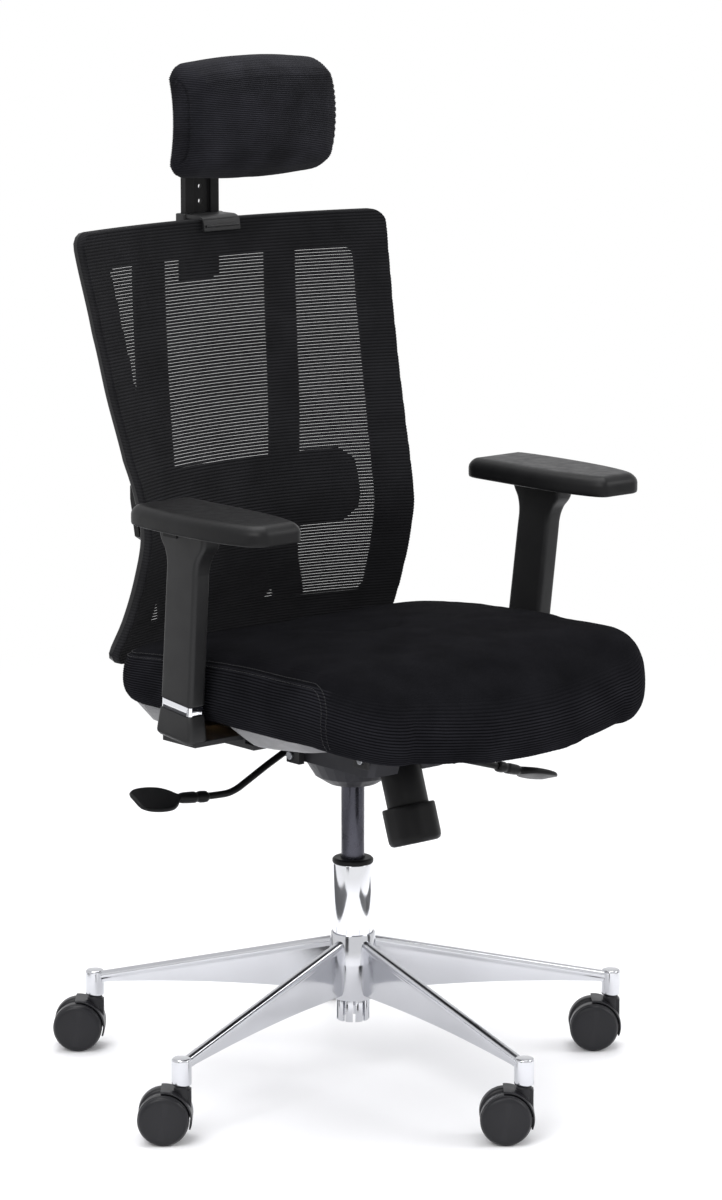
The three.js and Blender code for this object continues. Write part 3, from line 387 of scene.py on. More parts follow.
# ---- pieces ----
def piece(name, shape, body, slot, look=None, replaces=(), angle=38, relief=None):
    """Puts a shape into the scene on its body. Edges sharper than the angle stay sharp, unless it is 0."""
    points, faces = shape
    mesh = new_mesh(name, place(points).tolist(), faces)
    mesh.validate()
    mesh.polygons.foreach_set("use_smooth", [True] * len(mesh.polygons))
    if angle:
        mesh.set_sharp_from_angle(angle=math.radians(angle))
    # The point attribute carries the mask of painted shade in the grooves and painted light on the crests.
    if relief is not None:
        values = mesh.attributes.new("relief", "FLOAT", "POINT").data
        values.foreach_set("value", np.clip(relief, 0, 1).ravel())
    mesh.materials.append(LOOK[look or slot])
    mesh.update()
    obj = added(name, mesh)
    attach(obj, body)
    if replaces:
        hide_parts(*replaces)
    return obj


# ---- base and casters ----
def arm_section(reach, ridge, web):
    outline = [(3.6, web), (3.6, ridge - 11), (6, ridge - 7), (5.2, ridge - 2), (2.5, ridge),
               (-2.5, ridge), (-5.2, ridge - 2), (-6, ridge - 7), (-3.6, ridge - 11), (-3.6, web)]
    outline = rounded(outline, 1.6, 2, closed=True)
    return np.column_stack([np.full(len(outline), reach), outline[:, 0], outline[:, 1]])


def base_arm():
    rings = []
    for t in np.linspace(0, 1, 15):
        reach = 18 + (BASE["stem_circle"] - 18) * t
        ridge = BASE["ridge"][0] + (BASE["ridge"][1] - BASE["ridge"][0]) * t
        web = BASE["web"][0] + (BASE["web"][1] - BASE["web"][0]) * t + 5 * math.sin(math.pi * t)
        rings.append(arm_section(reach, ridge, min(web, ridge - 14)))
    arm = loft(rings)
    socket = lathe(rounded([(6, 67), (11.5, 67), (11.5, 99), (0.05, 99)], 3, 4), 40)
    return joined([arm, moved(socket, (BASE["stem_circle"], 0, 0))])


def hub_shape():
    bore, hole, seat = HUB["bore"], HUB["barrel_bore"], HUB["bottom"] + 4
    profile = [(bore, HUB["top"] - 60), (bore, HUB["top"]), (bore + 2.6, HUB["top"]),
               (HUB["outer"], HUB["bottom"] + 45), (HUB["outer"] - 2, HUB["bottom"]),
               (hole, HUB["bottom"]), (hole, seat), (bore, seat)]
    return lathe(rounded(profile, 1.2, 2, closed=True), 72, closed=True)


def barrel_segments():
    """The slotted wall under the hub, as ten segments with gaps between them."""
    low, high = HUB["barrel_bottom"], HUB["bottom"] + 1
    inner, outer = HUB["barrel_bore"], HUB["barrel"]
    section = rounded([(inner, low), (outer, low), (outer, high), (inner, high)], 0.8, 2, closed=True)
    segments = []
    for i in range(10):
        rings = []
        for degrees in np.linspace(-12.8, 12.8, 7):
            angle = math.radians(i * 36 + degrees)
            rings.append(np.column_stack([section[:, 0] * math.cos(angle), section[:, 0] * math.sin(angle),
                                          section[:, 1]]))
        segments.append(loft(rings))
    return segments


def base_star():
    parts = [hub_shape(), *barrel_segments()]
    for i in range(5):
        parts.append(turned_shape(base_arm(), "Z", BASE["first_arm"] + 72 * i))
    piece("base_star_polished", joined(parts), "base", "polished_aluminium", replaces=["base_star"], angle=30)


def fender():
    inner, outer = WHEEL["radius"] + 1.3, WHEEL["radius"] + 3.5
    half = WHEEL["width"] + WHEEL["between"] / 2 - 8
    section = rounded([(inner, -half), (outer - 0.6, -half), (outer, -half + 3), (outer, half - 3),
                       (outer - 0.6, half), (inner, half)], 1.0, 2, closed=True)
    rings = []
    for degrees in np.linspace(-20, 95, 36):
        angle = math.radians(degrees)
        rings.append(np.column_stack([section[:, 0] * math.cos(angle), section[:, 1],
                                      WHEEL["radius"] + section[:, 0] * math.sin(angle)]))
    return loft(rings)


def caster_hood():
    inside = WHEEL["between"] / 2 - 0.6
    radius, trail = WHEEL["radius"], WHEEL["trail"]
    edge = [(0.05, -inside), (radius - 3, -inside), (radius - 3, inside), (0.05, inside)]
    disc = moved(turned_shape(lathe(rounded(edge, 0.8, 2), 48), "X", 90), (0, 0, radius))
    outline = rounded_rectangle(radius - 2, 2 * inside, 2)
    body = loft([level(outline, z) for z in (radius, radius + 30, radius + 32)])
    neck = [(0.05, radius + 10), (9.5, radius + 10), (9.5, 64), (8, 66.6), (0.05, 66.6)]
    shoulder = lathe(rounded(neck, 0.8, 2), 36)
    stem = lathe(rounded([(0.05, radius), (5.6, radius), (5.6, 91), (0.05, 91)], 0.6, 2), 24)
    half = WHEEL["between"] / 2 + WHEEL["width"] - 3
    return joined([disc, moved(body, (radius / 2 + 3, 0, 0)), moved(shoulder, (trail, 0, 0)),
                   moved(stem, (trail, 0, 0)), rod(3, (0, -half, radius), (0, half, radius)), fender()])


def caster_wheel(side):
    start = WHEEL["between"] / 2
    end = start + WHEEL["width"]
    tread = WHEEL["radius"]
    profile = rounded([(3.3, start), (tread - 3, start), (tread, start + 2.5), (tread, end - 6.5),
                       (tread - 0.9, end - 6), (tread - 0.9, end - 4.4), (tread - 2.6, end - 1.6),
                       (tread - 6, end - 0.5), (0.05, end)], 1.6, 3)
    wheel = lathe(np.vstack([profile, [[0.05, end - 2.6], [3.3, end - 2.6]]]), 72, closed=True)
    return moved(turned_shape(wheel, "X", -90 if side > 0 else 90), (0, 0, WHEEL["radius"]))


def set_down(shape, number):
    """A caster part moved from its wheels' axis to the end of the base arm of that number."""
    angle = math.radians(BASE["first_arm"] + 72 * number)
    heading = math.radians(WHEEL["heading"])
    centre = (BASE["stem_circle"] * math.cos(angle) + WHEEL["trail"] * math.cos(heading),
              BASE["stem_circle"] * math.sin(angle) + WHEEL["trail"] * math.sin(heading), 0)
    return moved(turned_shape(shape, "Z", WHEEL["heading"] + 180), centre)


def casters():
    for i in range(5):
        body = f"caster_{i + 1}"
        piece(f"{body}_cover", set_down(caster_hood(), i), body, "caster_plastic", replaces=[f"{body}_hood"])
        for letter, side in (("a", 1), ("b", -1)):
            node = f"{body}_wheel_{letter}"
            piece(f"{node}_turned", set_down(caster_wheel(side), i), node, "caster_plastic", replaces=[node])


# ---- lift and mechanism ----
def lift():
    tube = rounded([(6.2, 100.4), (24, 100.4), (24, 262), (20, 262), (20, 104.4), (6.2, 104.4)], 0.8, 3,
                   closed=True)
    piece("lift_tube_chromed", lathe(tube, 96, closed=True), "base", "chrome", replaces=["lift_outer_tube"])
    bush = rounded([(14.4, 196), (19.6, 196), (19.6, 262.4), (24.8, 262.4), (24.8, 266.5), (22.6, 268.5),
                    (14.4, 268.5)], 0.8, 3, closed=True)
    piece("lift_bush_moulded", lathe(bush, 72, closed=True), "base", "black_plastic",
          replaces=["lift_guide_bush"])
    shaft = rounded([(5.4, 205), (14, 205), (14, 400), (4.4, 400), (4.4, 384), (0.05, 384), (0.05, 350),
                     (11.5, 350), (11.5, 215), (5.4, 215)], 0.6, 2, closed=True)
    piece("gas_cylinder_ground", lathe(shaft, 72, closed=True), "chassis", "piston_steel",
          replaces=["gas_cylinder"])


def on_tension_axis(shape):
    return moved(turned_shape(shape, "X", -TENSION["tilt"]), (0, TENSION["y"], TENSION["z"]))


def spring_tube():
    tube = rounded([(25, -3), (25, -55), (5.4, -55), (5.4, -51), (22, -51), (22, -3)], 0.7, 2, closed=True)
    piece("spring_tube_moulded", on_tension_axis(lathe(tube, 72, closed=True)), "chassis", "black_plastic",
          replaces=["spring_tube"])


def tension_knob():
    """A square knob with round corners on a round hub. Its rows are (height, half width)."""
    levels = [(-77, 4.8), (-56, 4.9), (-55.9, 26.2), (-53, 26.3), (-52.5, 27), (-52.7, 28.4), (-54.5, 29.4),
              (-60, 29.5), (-88, 29.5), (-93, 29.2), (-96.6, 27.6), (-98.3, 24.5), (-98.5, 20)]
    rings = []
    for z, half in levels:
        corner = half * (1 if half < 27 and z > -57 else 0.8)
        outline = rounded_rectangle(2 * half, 2 * half, corner, 14)
        rings.append(level(outline, z)[::-1])
    piece("tension_knob_moulded", on_tension_axis(loft(rings)), "tension_screw", "black_plastic",
          replaces=["tension_knob"])


def paddle(side, length, root, tip):
    """A lever's grip along X, from a narrow root to a flat tip: (share of the length, width, height)."""
    stations = [(-0.02, root - 4, 9), (0, root - 1, 12), (0.03, root, 13), (0.1, root, 13),
                (0.12, root - 2, 11), (0.16, root - 2, 11), (0.18, root, 12.6), (0.34, root - 1, 12),
                (0.4, root - 4, 10.5), (0.47, tip * 0.6, 9), (0.56, tip * 0.88, 8), (0.68, tip, 7),
                (0.8, tip, 6.2), (0.91, tip * 0.9, 5), (0.985, tip * 0.66, 4), (1, tip * 0.45, 2.6)]
    rings = []
    for t, width, height in through(stations, np.linspace(-0.02, 1, 48)):
        outline = rounded_rectangle(width, height, height * 0.46, 5)
        rings.append(np.column_stack([np.full(len(outline), side * length * t), outline]))
    points, faces = loft(rings)
    return points, faces if side > 0 else [tuple(reversed(face)) for face in faces]


def levers():
    corners = [(-4, 4, 412), (-34, 34, 411.5), (-50, 47, 405.5), (-62, 50, 399.5), (-90, 50, 387.5),
               (-138, 50, 364.5), (-152, 50, 361.2), (-176, 50, 362), (-226, 50, 366.5)]
    piece("height_lever_bar", sweep(rounded(corners, 14, 6), 4.2), "height_lever", "black_plastic",
          replaces=["height_lever_rod"])
    grip = turned_shape(turned_shape(paddle(-1, 107, 14, 44), "X", 26), "Y", 6)
    piece("height_lever_grip", moved(grip, (-185, 50, 362.5)), "height_lever", "black_plastic",
          replaces=["height_lever_paddle"])
    piece("tilt_lever_bar", rod(4, (54, -50, 400.8), (221, -50, 350.7)), "tilt_lever", "black_plastic",
          replaces=["tilt_lever_rod"])
    grip = turned_shape(turned_shape(paddle(1, 92, 15, 40), "X", -18), "Y", math.degrees(math.atan(0.3)))
    piece("tilt_lever_grip", moved(grip, (190, -50, 360)), "tilt_lever", "black_plastic",
          replaces=["tilt_lever_paddle"])


# ---- arms ----
def tube_rings(levels, corner):
    return [level(rounded_rectangle(width, length, corner, 7), z) for z, width, length in levels]


def leaned(shape, side):
    shape = turned_shape(turned_shape(shape, "X", ARM["forward"]), "Y", ARM["outward"])
    shape = moved(shape, (ARM["x"], ARM["y"], ARM["z"]))
    return shape if side > 0 else mirrored(shape)


def ring_shape(levels, corner, hole):
    inside = [(levels[-1][0], *hole), (levels[0][0], *hole)]
    return loft(tube_rings(levels, corner) + tube_rings(inside, 2), loop=True)


def sleeve():
    rows = [(46.6, 24, 56), (180, 24, 55), (206, 24, 55), (222, 25, 63), (238, 26.5, 82), (262, 27, 84)]
    outer = through(rows, np.concatenate([[46.6], np.linspace(50, 196, 20), np.linspace(199, 262, 34)]))
    inner = [(196, 15, 37.5), (46.2, 15, 37.5), (45.7, 16, 39), (45.7, 21.5, 53.5), (46, 23.4, 55.4)]
    return loft(tube_rings(inner[:3], 2) + tube_rings(inner[3:], 6) + tube_rings(outer, 6))


def bezier(points, steps=9):
    points = np.array(points, float)
    out = []
    for t in np.linspace(0, 1, steps, endpoint=False):
        row = points
        while len(row) > 1:
            row = row[:-1] * (1 - t) + row[1:] * t
        out.append(row[0])
    return out


def pad_outline():
    half, end = PAD["width"] / 2, PAD["length"] / 2
    curves = [
        [(-half, end - 20), (1 - half, 95 - end)],
        [(1 - half, 95 - end), (4 - half, 40 - end), (14 - half, 12 - end)],
        [(14 - half, 12 - end), (19 - half, -end), (28 - half, -end)],
        [(28 - half, -end), (half - 32, -end)],
        [(half - 32, -end), (half - 20, 2 - end), (half - 13, 17 - end)],
        [(half - 13, 17 - end), (half - 4, 40 - end), (half + 1, 85 - end), (half, 135 - end)],
        [(half, 135 - end), (half - 1, end - 40), (half - 6, end - 17)],
        [(half - 6, end - 17), (half - 10, end), (half - 22, end)],
        [(half - 22, end), (14 - half, end)],
        [(14 - half, end), (1 - half, end), (-half, end - 20)],
    ]
    return np.array([point for curve in curves for point in bezier(curve)])


def inset_outline(outline, distance):
    along = np.roll(outline, -1, axis=0) - np.roll(outline, 1, axis=0)
    along /= np.linalg.norm(along, axis=1)[:, None]
    return outline + distance * np.column_stack([-along[:, 1], along[:, 0]])


def pad_shape():
    outline = pad_outline()
    levels = [(8, 0), (2.2, 0), (0.8, 0.7), (0.1, 2.4), (0, 6), (0, 12), (0.5, 14.6), (1.9, 17.2),
              (4.2, 19.8), (7, 21.9), (9.6, 23.1), (12.5, 23.7), (16, 23.9)]
    rings = [level(inset_outline(outline, inset), rise) for inset, rise in levels]
    inner = rings[-1]
    for share in (0.75, 0.5, 0.25, 0.06):
        ring = inner * np.array([share, share, 1])
        ring[:, 2] += 0.1 * (1 - share)
        rings.append(ring)
    return moved(loft(rings), (PAD["x"], PAD["front"] + PAD["length"] / 2, PAD["bottom"]))


def on_side(shape, side):
    return shape if side > 0 else mirrored(shape)


def arm_sleeve(hand, side):
    points, faces = leaned(sleeve(), 1)
    points[:, 2] = np.minimum(points[:, 2], PAD["bottom"] - 0.35)
    piece(f"{hand}_arm_sleeve_moulded", on_side((points, faces), side), f"{hand}_arm", "black_plastic",
          look="sleeve_plastic", replaces=[f"{hand}_arm_sleeve"])


def arm_cover(hand, side):
    cover = [(-0.5, 19, 54), (0.4, 22, 60), (3, 25.6, 65), (6, 26.4, 66), (20, 25.8, 62), (32.6, 25, 57.4),
             (33.5, 24, 56.4)]
    piece(f"{hand}_arm_cover_moulded", leaned(ring_shape(cover, 6, (15, 37.5)), side), "seat",
          "black_plastic", look="sleeve_plastic", replaces=[f"{hand}_arm_cover"])
    band = [(34, 22.4, 52.4), (34.4, 23, 53), (44.6, 23, 53), (45, 22.4, 52.4)]
    piece(f"{hand}_arm_band", leaned(ring_shape(band, 5, (15, 37.5)), side), "seat", "chrome",
          replaces=[f"{hand}_arm_trim"])


def arms():
    for hand, side in (("left", 1), ("right", -1)):
        arm_sleeve(hand, side)
        arm_cover(hand, side)
        pad = piece(f"{hand}_arm_pad_moulded", on_side(pad_shape(), side), f"{hand}_arm", "arm_pad",
                    replaces=[f"{hand}_arm_pad"], angle=50)


# ---- clip that carries the headrest's stem ----
def clip_hook(front):
    """The strip that hooks over the back's top bar, drawn in profile and narrowed a little at its ends."""
    hook = rounded([(front - 4.5, 1004), (front - 0.6, 1004), (front - 0.2, 1018.3), (296.5, 1018.3),
                    (296.5, 1023), (front + 6, 1023), (front - 2, 1019.5)], 3.2, 4, closed=True)
    rings = []
    for x, share in ((-28, 0.82), (-27.2, 0.94), (-25.5, 1), (25.5, 1), (27.2, 0.94), (28, 0.82)):
        ring = hook.mean(axis=0) + (hook - hook.mean(axis=0)) * np.array([1, 0.8 + 0.2 * share])
        rings.append(np.column_stack([np.full(len(ring), x), ring]))
    return loft(rings)


def headrest_clip():
    front = float(back_surface(np.array([0.0]), np.array([1001.0]))[0]) - 5.5
    ridge = rod(1.5, (-25, front - 4, 1010.5), (25, front - 4, 1010.5), 14)
    collar = ring_shape([(978, 61, 17), (978.8, 62, 18), (1022.2, 62, 18), (1023, 61, 17)], 3, (53, 11))
    rows = [(940, 51, 2.6), (941, 54, 4), (983, 54, 4), (984, 52, 3)]
    tab = loft([level(rounded_rectangle(width, depth, 1.5, 4), z) for z, width, depth in rows])
    parts = [clip_hook(front), ridge, moved(collar, (0, 288, 0)), moved(tab, (0, 295, 0))]
    piece("headrest_clip_moulded", joined(parts), "back", "black_plastic", look="sleeve_plastic",
          replaces=["headrest_bracket"])


# ---- soft pieces ----
def seam_relief(points, normals, path, width=1.7, depth=2.0, pucker=0.5, pitch=6.5, reach=9.0):
    """Moves points near a sewn path inwards, with small gathers and a low swell beside it."""
    tree = tree_of(path)
    length = walked(path)
    low, high = path.min(axis=0) - reach, path.max(axis=0) + reach
    near = np.flatnonzero(np.all((points >= low) & (points <= high), axis=1))
    for index in near:
        _, i, distance = tree.find(points[index])
        if distance > reach:
            continue
        push = -depth * math.exp(-((distance / width) ** 2))
        fold = math.sin(2 * math.pi * length[i] / pitch + 1.3 * math.sin(length[i] / 17))
        push += pucker * fold * math.exp(-(((distance - 3.6) / 2.6) ** 2))
        push += 0.5 * math.exp(-(((distance - 3.4) / 1.6) ** 2))
        points[index] += normals[index] * push


def stitches(name, path, outward, body, slot, gap=4.2, length=2.9):
    """A row of raised stitches along a path, each a short thread."""
    walk = walked(path)
    threads = []
    for start in np.arange(2, walk[-1] - length, gap):
        spots = np.linspace(start, start + length, 5)
        line = np.column_stack([np.interp(spots, walk, path[:, k]) for k in range(3)])
        rise = np.column_stack([np.interp(spots, walk, outward[:, k]) for k in range(3)])
        line += rise * (0.45 * np.sin(np.linspace(0, math.pi, 5))[:, None] + 0.1)
        threads.append(sweep(line, 0.34, 6))
    piece(name, joined(threads), body, slot, look="stitching", angle=0)


def arc(x, y, radius, start, end, count):
    angles = np.radians(np.linspace(start, end, count))
    return np.column_stack([x + radius * np.cos(angles), y + radius * np.sin(angles)])


def seat_outline(inset):
    """The cushion's outline drawn in by the inset, from the middle of its front round to the same point."""
    half, front_corner, rear_corner = SEAT["half"], SEAT["corner_front"], SEAT["corner_rear"]
    front_centre, rear_centre = half - front_corner, half - rear_corner
    xs = np.linspace(0, front_centre + 2, 70)
    bulge = (SEAT["shoulder"] - SEAT["front"]) * (xs / front_centre) ** 2
    front = np.column_stack([xs * (1 - inset / 300), SEAT["front"] + bulge + inset])
    front_shift = max(0, inset - front_corner + 10)
    rear_shift = max(0, inset - rear_corner + 10)
    front_y = SEAT["shoulder"] + front_corner + front_shift
    rear_y = SEAT["rear"] - rear_corner - rear_shift
    corner = arc(front_centre - front_shift, front_y, max(10, front_corner - inset), -82, 0, 60)
    sides = np.linspace(front_y, rear_y, 132)[1:-1]
    side = np.column_stack([np.full(len(sides), half - inset), sides])
    rear = arc(rear_centre - rear_shift, rear_y, max(10, rear_corner - inset), 0, 90, 34)
    back_x = np.linspace(rear[-1, 0], 0, 70)[1:]
    share = 1 - (back_x / max(rear[-1, 0], 1)) ** 2
    back = np.column_stack([back_x, SEAT["rear"] - inset + 2 * share])
    right = np.vstack([front, corner, side, rear, back])
    left = right[1:-1][::-1] * np.array([-1, 1])
    return np.vstack([right, left])


def seat_ring(inset, rise):
    outline = seat_outline(inset)
    front = np.maximum(0, (-outline[:, 1] - 205) / 108)
    rear = np.maximum(0, (outline[:, 1] + 117) / 279)
    drop = 30 * front ** 2 + 24 * rear ** 1.6 * max(0, rise) / 87
    return level(outline, 0) + np.column_stack([np.zeros((len(outline), 2)), SEAT["under"] + rise - drop])


def seat_profile():
    """(arc length, inset, rise) rows from the underside's edge up over the side to the crown."""
    corners = np.array([(54, 0), (34, 0), (13, 0), (5, 9), (1.2, 20), (0, 34), (0.8, 48), (3, 60), (10, 73),
                        (24, 81.5), (60, 85), (110, 86.5), (165, 87)], float)
    return np.column_stack([walked(corners), corners])


def right_half_at(rise):
    """The right half of the cushion's ring at this rise on its side."""
    profile = seat_profile()
    ring = seat_ring(float(np.interp(rise, profile[2:, 2], profile[2:, 1])), rise)
    return ring[:len(ring) // 2 + 1]


def seam_track():
    """The sewn line: up each side behind the front corner, along the top edge and round the rear."""
    front, low, bend = -236, 48, 26
    top = low + bend
    track = [(front, rise) for rise in np.linspace(4, low, 40)]
    track += [(front + bend * (1 - math.cos(a)), low + bend * math.sin(a))
              for a in np.linspace(0.05, math.pi / 2, 30)]
    track += [(y, top) for y in np.linspace(front + bend + 2, 95, 260)]
    rows = []
    for y, rise in track:
        right = right_half_at(rise)
        rows.append([np.interp(y, right[:, 1], right[:, 0]), y, np.interp(y, right[:, 1], right[:, 2])])
    rear = right_half_at(top)
    rows += rear[rear[:, 1] > 96].tolist()
    right_half = np.array(rows)
    left_half = right_half[::-1][1:] * np.array([-1, 1, 1])
    return np.vstack([right_half, left_half])


def remeshed(name, shape, voxel):
    """The shape as an object of even faces, ready for Cloth."""
    copy = added(name, new_mesh(name, place(shape[0]).tolist(), shape[1]))
    remesh = copy.modifiers.new("voxels", "REMESH")
    remesh.mode = "VOXEL"
    remesh.voxel_size = voxel * 0.001
    even = bpy.data.meshes.new_from_object(copy.evaluated_get(bpy.context.evaluated_depsgraph_get()))
    copy.modifiers.clear()
    copy.data = even
    return copy


def cloth_swell(name, shape, voxel, cap, frames=20, pinned_below=None):
    """Runs Cloth under pressure on a remeshed copy. Gives its points in metres, and their moves in mm."""
    copy = remeshed(name, shape, voxel)
    start = np.array([vertex.co for vertex in copy.data.vertices])
    cloth = copy.modifiers.new("cloth", "CLOTH")
    settings = cloth.settings
    settings.use_pressure = True
    settings.uniform_pressure_force = 4.0
    settings.effector_weights.gravity = 0
    settings.quality = 5
    settings.mass = 0.35
    settings.tension_stiffness = 25
    settings.compression_stiffness = 25
    settings.bending_stiffness = 1.5
    if pinned_below is not None:
        pins = copy.vertex_groups.new(name="pins")
        pins.add(np.flatnonzero(start[:, 2] < pinned_below * 0.001).tolist(), 1.0, "REPLACE")
        settings.vertex_group_mass = "pins"
    cloth.point_cache.frame_start = 1
    cloth.point_cache.frame_end = frames
    for number in range(1, frames + 1):
        bpy.context.scene.frame_set(number)
    depsgraph = bpy.context.evaluated_depsgraph_get()
    end = np.array([vertex.co for vertex in copy.evaluated_get(depsgraph).data.vertices])
    bpy.context.scene.frame_set(1)
    bpy.data.objects.remove(copy)
    shift = (end - start) * 1000
    size = np.linalg.norm(shift, axis=1)
    shift *= np.minimum(1, cap / np.maximum(size, 1e-6))[:, None]
    return start, shift


def swollen(points, swell):
    """Points moved as the nearest few points of the simulated copy moved."""
    start, shift = swell
    strength = 0.8
    tree = tree_of(start)
    out = points.copy()
    for i, point in enumerate(place(points)):
        found = tree.find_n(point, 6)
        weights = np.array([1 / (distance + 0.002) for _, _, distance in found])
        moves = shift[[index for _, index, _ in found]]
        out[i] += strength * (weights[:, None] * moves).sum(axis=0) / weights.sum()
    return out


def seat_grid(profile, steps):
    """Rings of points from the underside's edge up the side, then in towards the middle of the crown."""
    rings = [seat_ring(inset, max(rise, 0)) for _, inset, rise in through(profile, steps)]
    top = rings[-1]
    centre = np.array([0, -70.0])
    for share in SEAT_CROWN:
        ring = top.copy()
        ring[:, :2] = centre + (top[:, :2] - centre) * share
        ring[:, 2] = top[:, 2] + 0.6 * (1 - share)
        rings.append(ring)
    return np.array(rings)


def seat_ribs(grid, height, side_top):
    """How far each point lifts for the ribs round the side and front and the slack top, and the mask of
    painted shade in the rib grooves and painted light on their crests.
    """
    x, y = grid[:, :, 0], grid[:, :, 1]
    height = height[:, None]
    start = smooth((height + 2) / 3)
    on_side = smooth((side_top + 1 - height) / 2.5) * start
    on_front = smooth((92 - height) / 44) * start
    front = smooth((-232 - y) / 8)
    mask = on_side * (1 - front) + on_front * front
    ribs = 0.8 * (np.abs(np.sin(math.pi * height / SEAT["rib"])) ** 0.8 * 2 - 1) * mask
    slack = 0.35 * np.sin(x / 41 + 1.2) * np.sin(y / 37) + 0.25 * np.sin(x / 17 + y / 23)
    lift_by = ribs + slack * smooth((height - 70) / 30)
    return lift_by, (0.5 + 0.625 * ribs) * mask + 0.3 * (1 - mask)


def seat_stitching(seam, points, normals):
    """Two rows of stitches, one on each side of the seam, laid on the cushion's surface."""
    tree = tree_of(points)
    along = np.gradient(seam, axis=0)
    along /= np.linalg.norm(along, axis=1)[:, None]
    outward = np.array([normals[tree.find(point)[1]] for point in seam])
    across = np.cross(along, outward)
    for number, offset in enumerate((-3.4, 3.4)):
        line = seam + across * offset
        nearest = [tree.find(point)[1] for point in line]
        line = line + outward * ((points[nearest] - line) * outward).sum(axis=1)[:, None]
        stitches(f"seat_stitches_{number + 1}", line, outward, "seat", "seat_fabric")


def seat_cushion():
    profile = seat_profile()
    walk = profile[:, 0]
    ribbed_from, ribbed_to = walk[2] - 3, walk[9] + 6
    steps = np.concatenate([np.linspace(0, ribbed_from, 8)[:-1], np.arange(ribbed_from, ribbed_to, 0.6),
                            np.linspace(ribbed_to, walk[-1], 40)])
    grid = seat_grid(profile, steps)
    normals = grid_normals(grid)
    coarse = grid[::6, ::4] - 1.5 * normals[::6, ::4]
    swell = cloth_swell("seat_swell", loft(coarse), 6.0, 4.0, pinned_below=SEAT["under"] - 22)
    grid = swollen(grid.reshape(-1, 3), swell).reshape(grid.shape) - 1.2 * normals
    height = np.concatenate([steps, np.full(len(SEAT_CROWN), walk[-1])]) - walk[2]
    lift_by, relief = seat_ribs(grid, height, walk[8] - walk[2])
    grid = grid + normals * lift_by[:, :, None]
    points, outward = grid.reshape(-1, 3), normals.reshape(-1, 3)
    seam = seam_track()
    seam_relief(points, outward, seam)
    cushion = piece("seat_cushion_sewn", loft(points.reshape(grid.shape)), "seat", "seat_fabric",
                    replaces=["seat_cushion"], angle=0, relief=relief)
    seat_stitching(seam, points, outward)


def headrest_rear(z):
    return 189 + 16 * ((z - HEADREST_MIDDLE) / HEADREST_HALF) ** 2


def headrest_depth(x, z, share):
    """The y of a point at this share of the way from the headrest's rear to its front."""
    return headrest_rear(z) * (1 - share) + (142 + 14 * (x / HEADREST["half"]) ** 2) * share


def inside_distance(x, z):
    """How far a point lies inside the headrest's rounded outline."""
    corner = HEADREST["corner"]
    qx = np.abs(x) - (HEADREST["half"] - corner)
    qz = np.abs(z - HEADREST_MIDDLE) - (HEADREST_HALF - corner)
    outside = np.hypot(np.maximum(qx, 0), np.maximum(qz, 0))
    return corner - outside - np.minimum(np.maximum(qx, qz), 0)


def bowed(points):
    """The headrest's plain block drawn in towards its corners, more so ahead of its flat rear."""
    points = np.array(points, float)
    across, up = points[..., 0] / HEADREST["half"], (points[..., 2] - HEADREST_MIDDLE) / HEADREST_HALF
    ahead = smooth((headrest_rear(points[..., 2]) - points[..., 1]) / 30)
    drop = np.where(up > 0, 0.15, 0.09) * across ** 2
    points[..., 2] = HEADREST_MIDDLE + HEADREST_HALF * up * (1 - drop)
    points[..., 0] *= 1 - (0.02 + 0.07 * ahead) * up ** 2
    return points


def headrest_row(z):
    """One level row of the headrest, across its front and back along its rear."""
    corner = HEADREST["corner"] - 1
    over = max(0, abs(z - HEADREST_MIDDLE) - (HEADREST_HALF - 1 - corner))
    widest = HEADREST["half"] - 1 - corner + math.sqrt(max(0, corner ** 2 - over ** 2))
    x_front = widest * np.sin(np.linspace(-math.pi / 2, math.pi / 2, 170))
    x_rear = widest * np.sin(np.linspace(math.pi / 2, -math.pi / 2, 72))[1:-1]
    front = np.interp(inside_distance(x_front, z), *HEADREST_FRONT.T)
    rear = np.interp(inside_distance(x_rear, z), *HEADREST_REAR.T)
    x = np.concatenate([x_front, x_rear])
    share = np.concatenate([front, rear]) / HEADREST["depth"]
    return np.column_stack([x, headrest_depth(x, z, share), np.full(len(x), z)])


def headrest_heights():
    """Rows from the bottom to the top, close together at both edges."""
    half = HEADREST_HALF - 1.02
    edge = half - 4 * (1 - np.sin(np.linspace(0, math.pi / 2, 12)))
    upper = np.concatenate([np.arange(0, half - 4.2, 0.46), edge])
    return np.concatenate([-upper[::-1][:-1], upper]) + HEADREST_MIDDLE


def headrest_seam(side):
    """The sewn line down one side, curving forward between its ends."""
    angles = np.linspace(0.03, math.pi - 0.03, 220)
    z = 1145 - 60 * np.sign(np.cos(angles)) * np.abs(np.cos(angles)) ** 0.7
    ahead = 33 * np.abs(np.sin(angles)) ** 0.6
    x = HEADREST["half"] - np.interp(ahead, HEADREST_FRONT[:, 1], HEADREST_FRONT[:, 0])
    return bowed(np.column_stack([side * x, headrest_depth(x, z, ahead / HEADREST["depth"]), z]))


